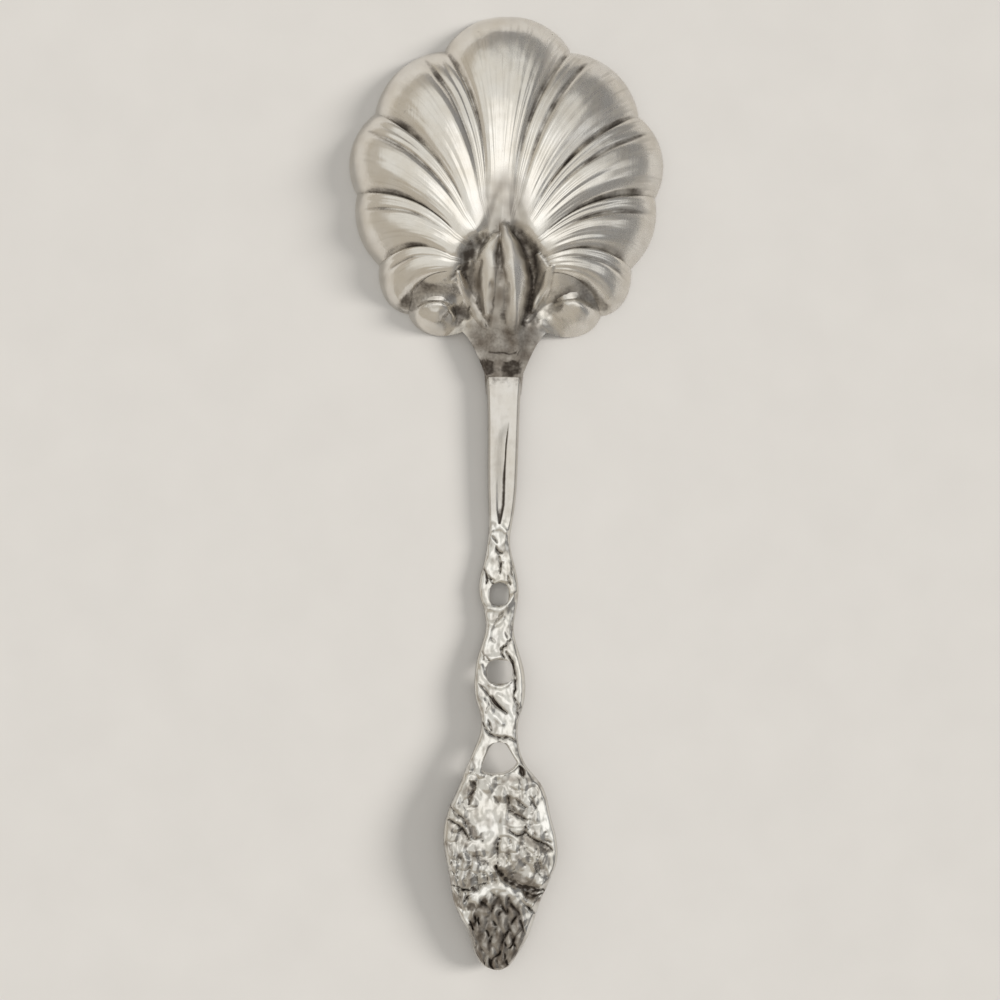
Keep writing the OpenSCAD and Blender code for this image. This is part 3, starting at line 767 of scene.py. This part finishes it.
# The line between the two stems: distance along the handle, and across
MIDDLE = np.array([
    (0, 0), (34.5, 0), (EYES[0][0], EYE_X[0]), (EYES[0][1], EYE_X[0]), (EYES[1][0], EYE_X[1]),
    (EYES[1][1], EYE_X[1]), (LAST_START, last_left[0, 0]), (LAST_END, last_left[-1, 0]),
    (LAST_END + 8, -0.3), (END_D, EDGE_LEFT[-1][0]),
])
# Where the stems begin, and where the square shank becomes round
STEMS_FROM, STEMS_TO, ROUND_FROM, ROUND_TO = 31.5, 35.5, 33, 41


def eye_sides(d):
    """Left and right side of the eye at a distance along the handle, equal where there is no eye."""
    mid = np.interp(d, MIDDLE[:, 0], MIDDLE[:, 1])
    left, right = mid.copy(), mid.copy()
    for i in (0, 1):
        t = np.clip((d - EYES[i][0]) / (EYES[i][1] - EYES[i][0]), 0, 1)
        half = EYE_HALF[i] * np.maximum(0, 1 - np.abs(2 * t - 1) ** EYE_POWER) ** (1 / EYE_POWER)
        left, right = left - half, right + half
    within = (d > LAST_START) & (d < LAST_END)
    left = np.where(within, np.interp(d, last_left[:, 1], last_left[:, 0]), left)
    right = np.where(within, np.interp(d, last_right[:, 1], last_right[:, 0]), right)
    return left, right


# Dark lines and ridges on the back: half width, depth or height, and the way each one runs
STEM_LINES = drawn(stem, 2, [
    (0.4, 0.3, (345, 203), (360, 215), (374, 236)), (0.42, 0.4, (368, 258), (380, 292), (408, 300)),
    (0.38, 0.45, (388, 318), (398, 355), (391, 408)), (0.26, 0.25, (398, 355), (414, 348)),
    (0.36, 0.42, (302, 386), (322, 436), (318, 470)), (0.3, 0.35, (320, 436), (362, 452)),
    (0.3, 0.3, (330, 424), (352, 468)), (0.34, 0.32, (468, 366), (452, 402), (462, 420)),
    (0.34, 0.36, (438, 428), (450, 474)), (0.34, 0.36, (412, 628), (378, 672), (362, 698)),
    (0.3, 0.25, (340, 776), (366, 796)), (0.36, 0.35, (466, 676), (458, 726)),
    (0.28, 0.25, (420, 742), (436, 772)), (0.36, 0.4, (396, 838), (428, 818), (454, 782)),
    (0.34, 0.42, (412, 816), (398, 858), (418, 886)), (0.3, 0.3, (292, 850), (302, 896)),
    (0.28, 0.28, (312, 876), (328, 896)),
    (0.42, 0.6, (424, 846), (456, 892), (474, 960), (480, 1040), (468, 1096)),
    (0.36, 0.45, (468, 1100), (494, 1150), (488, 1196)), (0.3, 0.35, (512, 1150), (486, 1222)),
    (0.4, 0.36, (276, 1034), (312, 1062), (326, 1096)), (0.52, 0.5, (336, 1100), (368, 1146), (430, 1192)),
    (0.36, 0.4, (348, 1098), (372, 1140), (398, 1166)), (0.28, 0.22, (334, 1138), (312, 1194)),
    (0.36, 0.38, (294, 1238), (308, 1282), (338, 1302)), (0.32, 0.34, (328, 1236), (346, 1294)),
    (0.55, 0.4, (330, 1308), (390, 1332), (440, 1326), (482, 1352)),
    (0.3, 0.25, (230, 1450), (250, 1500), (230, 1530)),
])
STEM_RIDGES = drawn(stem, 2, [
    (0.8, 0.3, (368, 462), (400, 446), (434, 452)), (0.9, 0.42, (312, 604), (380, 612), (440, 584), (470, 530)),
    (0.9, 0.3, (340, 170), (392, 146), (430, 180)),
    (0.8, 0.34, (288, 930), (300, 990), (350, 1042), (412, 1046), (452, 1014)),
    (0.9, 0.3, (330, 880), (366, 888), (400, 874)),
    (0.9, 0.36, (500, 880), (514, 960), (512, 1060), (506, 1130)),
    (1.0, 0.35, (300, 1120), (350, 1190), (400, 1250)), (0.9, 0.28, (380, 1090), (440, 1130), (462, 1200)),
    (0.8, 0.25, (330, 690), (372, 700), (410, 660)),
])
LEAF_LINES = drawn(leaf, 2, [
    (0.45, 0.45, (298, 268), (332, 292)), (0.45, 0.5, (330, 306), (300, 360), (288, 424)),
    (0.28, 0.25, (288, 430), (345, 438)), (0.55, 0.6, (618, 168), (636, 196), (640, 236)),
    (0.42, 0.45, (162, 428), (200, 480), (256, 508), (272, 566)),
    (0.45, 0.5, (150, 518), (222, 552), (262, 604), (292, 656)), (0.3, 0.28, (176, 600), (236, 602)),
    (0.38, 0.38, (452, 366), (482, 412)), (0.36, 0.38, (538, 368), (560, 432), (604, 472)),
    (0.36, 0.38, (588, 378), (622, 410), (664, 444)), (0.3, 0.3, (556, 306), (604, 332)),
    (0.42, 0.45, (684, 364), (704, 400), (726, 442)), (0.32, 0.34, (724, 360), (704, 398), (690, 430)),
    (0.38, 0.4, (548, 458), (600, 486), (672, 522)),
    (0.42, 0.48, (556, 596), (610, 632), (662, 604), (660, 534)),
    (0.45, 0.5, (660, 604), (690, 640), (740, 664), (806, 692), (834, 724)), (0.3, 0.4, (784, 598), (794, 606)),
    (0.34, 0.36, (774, 652), (826, 672)), (0.4, 0.5, (486, 640), (470, 700), (476, 760), (464, 832)),
    (0.85, 0.85, (464, 828), (508, 900), (596, 948), (680, 980), (792, 984)),
    (0.32, 0.32, (184, 774), (168, 806)), (0.3, 0.28, (232, 764), (240, 784)),
    (0.34, 0.34, (288, 786), (296, 862)), (0.3, 0.28, (352, 790), (388, 804)),
    (0.38, 0.42, (410, 876), (408, 914)), (0.3, 0.28, (150, 828), (202, 882), (232, 924)),
    (0.5, 0.6, (168, 944), (258, 982), (330, 972), (404, 928)),
    (0.4, 0.4, (254, 1056), (284, 1012), (346, 974)), (0.55, 0.6, (640, 978), (694, 1030), (768, 1000)),
    (0.45, 0.45, (628, 1050), (668, 1084), (718, 1134)), (0.36, 0.38, (722, 800), (728, 872), (820, 902)),
    (0.32, 0.32, (624, 836), (662, 800)), (0.3, 0.3, (756, 700), (790, 720), (820, 716)),
    (0.32, 0.3, (326, 640), (372, 640), (376, 668)),
])
LEAF_RIDGES = drawn(leaf, 2, [
    (0.8, 0.4, (268, 196), (320, 208), (380, 228), (460, 230), (530, 214), (604, 160)),
    (1.1, 0.4, (560, 560), (610, 572), (650, 550)), (1.0, 0.32, (690, 470), (716, 480), (720, 520)),
    (0.9, 0.3, (206, 440), (240, 462), (270, 450)), (0.9, 0.34, (160, 500), (224, 516), (258, 560)),
    (0.8, 0.3, (640, 240), (668, 300), (640, 340)), (0.9, 0.3, (696, 800), (700, 870), (660, 930)),
    (0.9, 0.28, (700, 950), (760, 930), (810, 940)),
    (1.0, 0.4, (280, 1080), (340, 996), (430, 950), (520, 950), (590, 1000), (634, 1070)),
    (0.8, 0.28, (640, 1020), (700, 1084)),
    (1.4, 0.25, (336, 1040), (404, 984), (480, 966), (556, 986), (606, 1036)),
    (0.8, 0.12, (806, 430), (828, 540), (852, 640), (860, 760)),
])
# Dark spots: half sizes, dirt, and place. The large spot at (590, 900) is painted shade under the overhanging
# right leaf.
DARK_PATCHES = drawn(leaf, 3, [
    (0.9, 1.6, 0.55, (318, 604)), (0.5, 1.1, 0.45, (374, 636)), (0.9, 0.8, 0.6, (320, 285)),
    (0.9, 1.3, 0.9, (640, 205)), (0.5, 0.8, 0.5, (470, 390)), (0.7, 1.1, 0.55, (704, 398)),
    (1.2, 0.8, 0.45, (770, 690)), (1.6, 1.0, 0.7, (690, 1010)), (2.2, 1.5, 0.5, (590, 900)),
    (1.2, 1.0, 0.5, (250, 590)), (1.1, 2.0, 0.45, (215, 1010)), (1.3, 1.0, 0.35, (560, 490)),
    (0.9, 1.4, 0.95, (388, 1052)), (1.0, 1.4, 0.95, (482, 1048)), (0.6, 1.2, 0.9, (552, 1066)),
    (1.3, 1.4, 0.8, (300, 1086)),
])
# Broad hollows with painted shade under the leaves: half width, share of painted shade, and the way each one runs
SHADES = drawn(leaf, 2, [
    (1.9, 0.85, (490, 850), (590, 916), (720, 950)), (1.1, 0.85, (286, 556), (336, 646)),
    (1.2, 0.7, (650, 636), (724, 684), (806, 724)), (0.9, 0.65, (230, 590), (286, 650)),
    (1.2, 0.7, (560, 446), (640, 506)), (0.9, 0.75, (318, 280), (296, 400)),
    (1.4, 0.85, (660, 1000), (740, 1040)), (0.9, 0.7, (180, 1000), (230, 1090)),
    (0.8, 0.6, (540, 370), (620, 420)), (0.9, 0.55, (340, 760), (390, 800)), (1.0, 0.6, (730, 800), (800, 880)),
])
# Fingers of the lower leaves: half sizes, turn, pitch, height, and place
FINGERS = drawn(leaf, 5, [
    (6.0, 4.6, 4, 1.9, 0.42, (285, 835)), (4.2, 4.4, -22, 1.5, 0.28, (590, 755)),
    (2.4, 3.0, 10, 1.3, 0.22, (200, 690)), (2.2, 3.4, -8, 1.5, 0.26, (780, 800)),
])
berry_at = leaf((470, 1215))[0]
BERRY_HALF = (8.5, 10.6)


def berry(x, d):
    """The berry: where it is, its rim, its dome, and its pointed scales in crossing rows."""
    u, v = (x - berry_at[0]) / BERRY_HALF[0], (d - berry_at[1]) / BERRY_HALF[1]
    inside = smooth(1.04, 0.9, np.hypot(u, np.minimum(v, 0.35 * v)))
    rim = smooth(0.70, 0.88, np.hypot(u, np.minimum(0, v)))
    dome = np.sqrt(np.maximum(0, 1 - u**2 - np.minimum(v, 0) ** 2)) * smooth(1.25, 0.5, v)
    bend, sway = 0.45 * noise(x / 2.4, d / 3.2, 31), 0.40 * noise(x / 2.8 + 5, d / 3.8, 32)
    wide = 1.55 * (1 - 0.3 * smooth(0, 1, v))
    p, q = (x - berry_at[0]) / (2 * wide), (d - berry_at[1]) / 6.6
    a, b = p + q + bend, p - q + sway
    fa, fb = np.abs(a - np.round(a)), np.abs(b - np.round(b))
    first = np.exp(-((fa / 0.075) ** 2)) * smooth(-0.25, 0.3, noise(x / 2.2, d / 2.6, 33))
    second = np.exp(-((fb / 0.075) ** 2)) * smooth(-0.1, 0.4, noise(x / 2.2 + 7, d / 2.6, 35))
    cut = most(first, second)
    scale = np.sin(np.pi * (a - np.floor(a))) * np.sin(np.pi * (b - np.floor(b)))
    return inside, rim, dome, cut, scale


def relief(x, d, back, seed):
    """Height, dirt and film of the ornament on one face of the handle, with painted shade under the leaves."""
    z, dark = np.zeros_like(x), np.zeros_like(x)
    stems = smooth(STEMS_FROM, STEMS_TO, d)
    finial = smooth(LAST_END - 2.5, LAST_END + 2, d)
    past = d - LAST_END
    left, right = edge(EDGE_LEFT, d), edge(EDGE_RIGHT, d)
    inset = np.minimum(x - left, right - x)

    # Worn, uneven skin of the casting.
    z += 0.30 * stems * noise(x / 2.6, d / 3.4, seed) + 0.09 * stems * noise(x / 1.1, d / 1.4, seed + 1)

    cloud = noise(x / 1.9 + 6, d / 2.8, seed + 11) + 0.5 * noise(x / 0.7, d / 1.0, seed + 12)
    cloudy = smooth(-0.1, 0.8, cloud)
    film = most(stems * (1 - finial) * (0.04 + 0.42 * cloudy), (1 - stems) * (0.42 + 0.08 * cloudy))

    # Feathery lumps of the leaves, quieter in the middle and along the smooth right edge.
    bend_x, bend_d = 0.8 * noise(x / 3.1, d / 3.9, seed + 2), 1.0 * noise(x / 3.3, d / 4.2, seed + 3)
    near, far = cells((x + bend_x) / 2.3 + 20, (d + bend_d) / 3.9, seed + 4)
    small, next_small = cells((x + bend_x) / 1.2 + 9, (d + bend_d) / 2.2, seed + 5)
    band = smooth(3.6, 2.3, right - x) * smooth(3, 8, past) * smooth(27, 20, past) if back else 0.0
    calm = smooth(-0.6, 0.7, oval(x, d, leaf((400, 540))[0], 3.4, 8.0))
    facet = smooth(-0.2, 0.6, oval(x, d, leaf((650, 900))[0], 3.0, 3.2, 20))
    inside, rim, dome, cut, scale = berry(x, d)
    leafy = finial * (1 - inside) * (1 - band)
    lower = 0.55 + 0.45 * smooth(15, 20, past)
    lump = leafy * (1 - 0.65 * calm - 0.6 * facet) * smooth(0.2, 2.0, inset) * lower
    z += lump * (1.4 * (0.75 - near) + 0.3 * (0.6 - small))
    gaps = smooth(0.16, 0.02, far - near)
    fine = smooth(0.13, 0.02, next_small - small)
    z -= lump * (0.16 * gaps + 0.06 * fine)
    spotty = smooth(-0.05, 0.5, noise(x / 3.0 + 3, d / 3.0, seed + 6))
    dark = most(dark, lump * (0.60 * gaps * spotty + 0.12 * fine * spotty))
    patches = noise(x / 1.5 + 2, d / 2.6, seed + 7) + 0.2 * noise(x / 0.6, d / 0.9, seed + 9)
    patchy = smooth(-0.15, 0.75, patches)
    film = most(film, leafy * (0.10 + 0.72 * patchy) * (1 - 0.4 * calm))

    # Fingers of the lower leaves: upright on the left, slanting on the right.
    uneven = smooth(-0.4, 0.3, noise(x / 1.5, d / 1.5, seed + 10))
    for wide, long, turn, pitch, high, (at,) in FINGERS:
        o = smooth(-0.1, 0.5, oval(x, d, at, wide, long, turn)) * (1 - inside)
        c, s = math.cos(math.radians(turn)), math.sin(math.radians(turn))
        across = (x - at[0]) * c + (d - at[1]) * s + 0.6 * bend_x
        ridge = np.abs(np.sin(np.pi * across / pitch))
        z += o * high * (ridge**0.7 - 0.6)
        dark = most(dark, o * 0.75 * smooth(0.22, 0.0, ridge) * uneven)
    z += 0.05 * band * np.sin(2 * np.pi * (right - x) / 1.7)

    # The berry, darkest between its scales.
    z += inside * (1.0 * dome + (0.45 * scale - 0.45 * cut) * (1 - rim)) * smooth(0.1, 1.2, inset)
    worn = smooth(-0.3, 0.6, noise(x / 1.7 + 4, d / 2.3, 34))
    sunk = (0.46 + 0.2 * worn) * (1 - 0.45 * scale) + 0.45 * cut
    within = inside * (1 - rim) * smooth(0.0, 0.8, inset)
    dark = most(dark, within * sunk)
    film = most(film, within * (0.62 + 0.33 * worn))

    if back:
        wander = 0.22 * noise(x / 0.8, d / 0.8, 41)
        broken = 0.35 + 0.65 * smooth(-0.45, 0.15, noise(x / 1.2, d / 1.2, 42))
        for half, deep, line in STEM_LINES + LEAF_LINES:
            g = groove(x + wander, d + wander, line, 0.75 * half)
            z -= deep * g
            dark = most(dark, min(1, deep / 0.42) * smooth(0.25, 0.85, g) * broken)
            film = most(film, 0.3 * groove(x, d, line, 2.0 * half))
        for half, high, line in STEM_RIDGES + LEAF_RIDGES:
            g = groove(x, d, line, half)
            z += high * g
            dark *= 1 - 0.55 * g**2
            film *= 1 - 0.6 * g**2
        # Painted shade in broad hollows under the leaves.
        for half, share, line in SHADES:
            g = smooth(0.15, 0.8, groove(x + wander, d + wander, line, half))
            z -= 0.25 * g
            film = most(film, share * g)
        torn = [x + 0.3 * noise(x, d, 43), d + 0.3 * noise(x + 7, d, 44)]
        # Dark spots of dirt, one of them painted shade under the right leaf.
        for wide, long, share, (at,) in DARK_PATCHES:
            o = smooth(-0.1, 0.7, oval(*torn, at, wide, long))
            z -= 0.25 * o
            dark, film = most(dark, 0.7 * share * o), most(film, share * o)
    else:
        # Veins on the web, under the stems.
        leaves = np.abs(noise(x / 2.4, d / 5.2, seed + 8))
        z += stems * (1 - finial) * (0.55 * leaves - 0.15)
        vein = smooth(0.09, 0.0, leaves)
        dark = most(dark, 0.8 * vein * stems * (1 - finial))
    return z, dark, film


# Distance along the handle, and the height of the middle of the casting there
HEIGHTS = [(0, NECK_Z + NECK_T / 2), (SHANK_L + 4, 1.98), (FINIAL_AT + FINIAL_L * 0.42, 7.0), (HANDLE_L, 4.2)]


def mid_z(d):
    z = np.full(np.shape(d), float(HEIGHTS[0][1]))
    for (d0, z0), (d1, z1) in zip(HEIGHTS[:-1], HEIGHTS[1:]):
        z = np.where(d >= d0, z0 + (z1 - z0) * smooth(d0, d1, d), z)
    return z


def rounded(e, r):
    """Height of a rounded edge, from 0 to 1, at distance e inside it."""
    return np.sqrt(np.maximum(0, 1 - (1 - np.clip(e / r, 0, 1)) ** 2))


def half_thickness(x, d):
    """Half the thickness of the casting, and the distance to its outline."""
    left, right = edge(EDGE_LEFT, d), edge(EDGE_RIGHT, d)
    inset = np.maximum(0, np.minimum(np.minimum(x - left, right - x), END_D - d))
    stems, finial = smooth(ROUND_FROM, ROUND_TO, d), smooth(FINIAL_AT - 4, FINIAL_AT + 6, d)
    full = 1.9 - 0.12 * smooth(0, ROUND_FROM, d) - 0.35 * stems + 0.15 * finial
    round_to = 0.75 + 0.65 * stems - 0.2 * finial
    tip = 1 - 0.35 * smooth(END_D - 8, END_D, d)
    t = full * rounded(inset, round_to) * tip
    # The inner edge of each eye is rounded too.
    a, b = eye_sides(d)
    wide = np.maximum(a - x, x - b)
    for i, (start, end) in enumerate(EYES):
        if i < 2:
            q = np.hypot((x - EYE_X[i]) / EYE_HALF[i], (d - (start + end) / 2) / ((end - start) / 2))
            off = (q - 1) * min(EYE_HALF[i], (end - start) / 2)
        else:
            beyond = np.minimum(np.abs(d - start), np.abs(d - end))
            off = np.where((d > start) & (d < end), wide, np.hypot(wide, beyond))
        t = t * (0.55 + 0.45 * rounded(np.maximum(off, 0), 0.8))
    return t, inset


TROUGH_RIGHT = place([
    (510.6, 418), (508.6, 424), (506.2, 446), (504.9, 471), (504.4, 488), (503.9, 505), (500.4, 522.5),
])
TROUGH_LEFT = place([
    (509.6, 418), (503, 428), (497.6, 442), (497.1, 455), (496.8, 488), (497.1, 509), (498.6, 522.5),
])
TROUGH_DEPTH = 0.42


def trough(x, d):
    """The hollow in the shank's back. Its floor falls to the right, and it narrows to a point with dirt in it. A
    painted shadow runs along its right wall.
    """
    right = np.interp(d, TROUGH_RIGHT[:, 1], TROUGH_RIGHT[:, 0])
    left = np.interp(d, TROUGH_LEFT[:, 1], TROUGH_LEFT[:, 0])
    start, end = TROUGH_RIGHT[0, 1], TROUGH_RIGHT[-1, 1]
    t = (d - start) / (end - start)
    ends = smooth(start, start + 5, d) * smooth(end + 0.4, end - 0.3, d)
    sharp = smooth(0.55, 0.95, t)
    fall = smooth(left - 1.2 * (1 - sharp), right, x)
    floor = smooth(left - 0.3, left + 0.3, x)
    hollow = ((1 - sharp) * fall + sharp * floor) * smooth(right + 0.2, right - 0.2, x) * ends
    patchy = smooth(-0.6, 0.3, noise(x / 1.5, d / 3.1, 45))
    wide = 0.2 + 0.22 * smooth(0.35, 0.6, t)
    # Painted shadow along the right wall of the hollow.
    side = np.exp(-(((x - right + 0.4 * wide) / wide) ** 2)) * smooth(0.02, 0.2, t) * (0.84 + 0.16 * patchy)
    other = 0.42 * np.exp(-(((x - left) / 0.14) ** 2)) * smooth(0.45, 0.8, t)
    point = 0.9 * hollow * smooth(0.8, 0.95, t)
    return TROUGH_DEPTH * hollow, most(side, other, point) * (ends > 0.02)


BACK_SEED, UNDER_SEED = 51, 71
SEAM_REACH, FLOOR_GAP = 9, 0.02


def skin(x, d, back):
    """Points, dirt and film of one face of the handle, with painted shade along its outline and beside the
    trough's right wall.
    """
    t, inset = half_thickness(x, d)
    z, dark, film = relief(x, d, back, BACK_SEED if back else UNDER_SEED)
    fade = smooth(0, 0.9, inset)
    if back:
        hollow, shade = trough(x, d)
        up = t + z * fade - hollow
        dark = most(dark, shade)
    else:
        share = 0.35 + 0.65 * smooth(LAST_START, FINIAL_AT + 6, d)
        up = -t - share * z * fade
    stain = 0.55 * smooth(4.5, 0.3, d) * (0.6 + 0.6 * noise(x / 1.6, d / 1.4, 12))
    worn = 0.12 * smooth(30, 40, d) * smooth(0.5, 0.1, inset)
    height = mid_z(d) + up
    lean = np.maximum(0, 1 - d / SEAM_REACH)
    seam = SEAM_Y - SOLDER_T - SCARF_L * (NECK_TOP - height) / NECK_T
    y = lean * seam + (1 - lean) * (SEAM_Y - SOLDER_T) - d
    dark = most(dark, stain)
    if back:
        sunk = smooth(0.08, 0.34, hollow_of(z * fade, 4, 5, False))
        sunk = sunk * (0.6 + 0.6 * noise(x / 1.1, d / 1.1, 46))
        dark, film = most(dark, 0.5 * sunk), most(film, 0.5 * sunk)
    # Painted shade along the outline of the stems and finial, standing for a darker reflection at the rounded
    # edges.
    edge_shade = 0.42 * smooth(0.4, 0.0, inset) * smooth(28, 38, d)
    film = most(film, 0.5 * smooth(3, 0.2, d), edge_shade)
    points = np.stack([x, y, np.maximum(height, FLOOR_GAP)], -1)
    return points, np.clip(dark - worn, 0, 1), np.clip(film, 0, 1)


TIP_L = 3
CUTS = [0, 10, STEMS_FROM, *(d for pair in EYES for d in pair), END_D - TIP_L, END_D]
ROW_COUNTS = [16, 34, 78, 34, 52, 36, 56, 38, 168, 40]
EYE_PARTS = (3, 5, 7)
HALF_COLUMNS = 40


def handle_rows():
    """Distances along the handle, closer together at the ends of the eyes and at the tip."""
    rows = []
    for i, (a, b, n) in enumerate(zip(CUTS[:-1], CUTS[1:], ROW_COUNTS)):
        if i in EYE_PARTS:
            rows.append((a + b) / 2 - (b - a) / 2 * np.cos(np.pi * np.arange(n) / n))
        else:
            rows.append(np.linspace(a, b, n, endpoint=False))
    n = ROW_COUNTS[-1]
    rows[-1] = END_D - TIP_L + TIP_L * (1 - (1 - np.arange(n) / n) ** 2)
    return np.concatenate(rows + [[END_D - 0.004]])


def make_handle():
    rows, half = handle_rows(), HALF_COLUMNS
    share = np.arange(half + 1) / half
    share = 0.6 * share + 0.4 * np.sin(np.pi / 2 * share)
    left, right = edge(EDGE_LEFT, rows), edge(EDGE_RIGHT, rows)
    a, b = eye_sides(rows)
    left_half = a[:, None] + share[::-1] * (left - a)[:, None]
    across = np.concatenate([left_half, b[:, None] + share * (right - b)[:, None]], 1)
    d = rows[:, None] + 0 * across
    points, quads, grids, marks = [], [], {}, {"dark": [], "film": []}
    for start, back in ((0, True), (across.size, False)):
        p, *made = skin(across, d, back)
        points.append(p.reshape(-1, 3))
        for k, v in zip(marks, made):
            marks[k].append(v.ravel())
        ids = start + np.arange(across.size).reshape(across.shape)
        grids[0, back], grids[1, back] = ids[:, half::-1], ids[:, half + 1 :]
    for side in (0, 1):
        for back in (True, False):
            ids = grids[side, back]
            q = np.stack([ids[:-1, :-1], ids[:-1, 1:], ids[1:, 1:], ids[1:, :-1]], -1).reshape(-1, 4)
            quads.append(q if (side == 0) == back else q[:, ::-1])
    # Walls of the eyes, the end on the seam, and the tip.
    opened = (b - a) > 1e-9
    between = np.nonzero(opened[:-1] | opened[1:])[0]
    for s in (0, 1):
        up, down = grids[s, True][:, 0], grids[s, False][:, 0]
        q = np.stack([up[between], up[between + 1], down[between + 1], down[between]], -1)
        quads.append(q if s == 0 else q[:, ::-1])
        for r, flip in ((0, False), (len(rows) - 1, True)):
            up, down = grids[s, True][r], grids[s, False][r]
            q = np.stack([up[:-1], down[:-1], down[1:], up[1:]], -1)
            quads.append(q[:, ::-1] if (s == 1) != flip else q)
    marks = {k: np.concatenate(v) for k, v in marks.items()}
    points, quads = np.concatenate(points), np.concatenate(quads)
    return make_mesh("handle_casting", points, quads, [], marks, handle_silver)


handle = make_handle()
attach(handle, "root")
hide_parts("handle")

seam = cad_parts["solder_seam"]
seam.data.materials.clear()
seam.data.materials.append(solder_metal())

# Floor, light and camera

FLOOR_W = 24
FLOOR_TONES = ((0, (0.61, 0.60, 0.59)), (1, (0.66, 0.65, 0.64)))


def make_floor():
    m, shader, nodes = new_material("pale_floor")
    grain = nodes.noise(nodes.where("Object"), 60, 4)
    nodes.feed(shader, {"Base Color": nodes.ramp(grain, *FLOOR_TONES), "Roughness": 0.8})
    bpy.ops.mesh.primitive_plane_add(size=FLOOR_W, location=(0, 0, 0))
    floor = bpy.context.object
    floor.name = "floor"
    floor.data.materials.append(m)
    return floor


make_floor()


def make_key():
    """Wide soft light from the right and a little from the bowl's end. The silver mirrors only the room."""
    lamp = bpy.data.lights.new("key", "SUN")
    lamp.energy = 2.9
    lamp.angle = math.radians(20)
    lamp.color = (1, 0.96, 0.90)
    ob = add_object("key", lamp)
    ob.location = (1.06, 0.16, 0.60)
    ob.rotation_euler = (math.radians(60.8), 0, math.radians(98.6))
    ob.visible_glossy = False


make_key()


def make_room():
    """Soft room light: a white ceiling, a warm wall to the left, and a dark far right with one window."""
    world = bpy.data.worlds.new("room")
    bpy.context.scene.world = world
    world.use_nodes = True
    nodes = Nodes(world.node_tree)
    way = nodes.where("Generated")

    def facing(towards, low, high):
        dot = nodes.add("VectorMath", {0: way, 1: towards}, operation="DOT_PRODUCT")
        return nodes.share(dot.outputs["Value"], low, high)

    walls = nodes.mix(facing((0.93, 0.36, 0.0), -0.4, 0.6), (0.50, 0.46, 0.40), (0.27, 0.265, 0.26))
    window = nodes.mix(facing((0.80, 0.02, 0.60), 0.955, 0.985), walls, (0.78, 0.775, 0.76))
    ceiling = nodes.mix(facing((-0.20, 0.26, 0.945), 0.55, 0.70), window, (0.76, 0.745, 0.705))
    room = nodes.mix(facing((0.02, 0.12, 0.993), 0.88, 0.985), ceiling, (1.22, 1.20, 1.16))
    nodes.feed(world.node_tree.nodes["Background"], {"Color": room})


make_room()
bpy.context.scene.view_settings.view_transform = "Standard"

cam = bpy.data.cameras.new("camera")
cam.sensor_width = SENSOR_W
cam.lens = SENSOR_W * CAMERA_UP / PICTURE_W
cam_ob = add_object("camera", cam)
cam_ob.location = (CAMERA_AT[0] * MM, CAMERA_AT[1] * MM, CAMERA_UP * MM)
cam_ob.rotation_euler = (0, 0, ROLL)
bpy.context.scene.camera = cam_ob
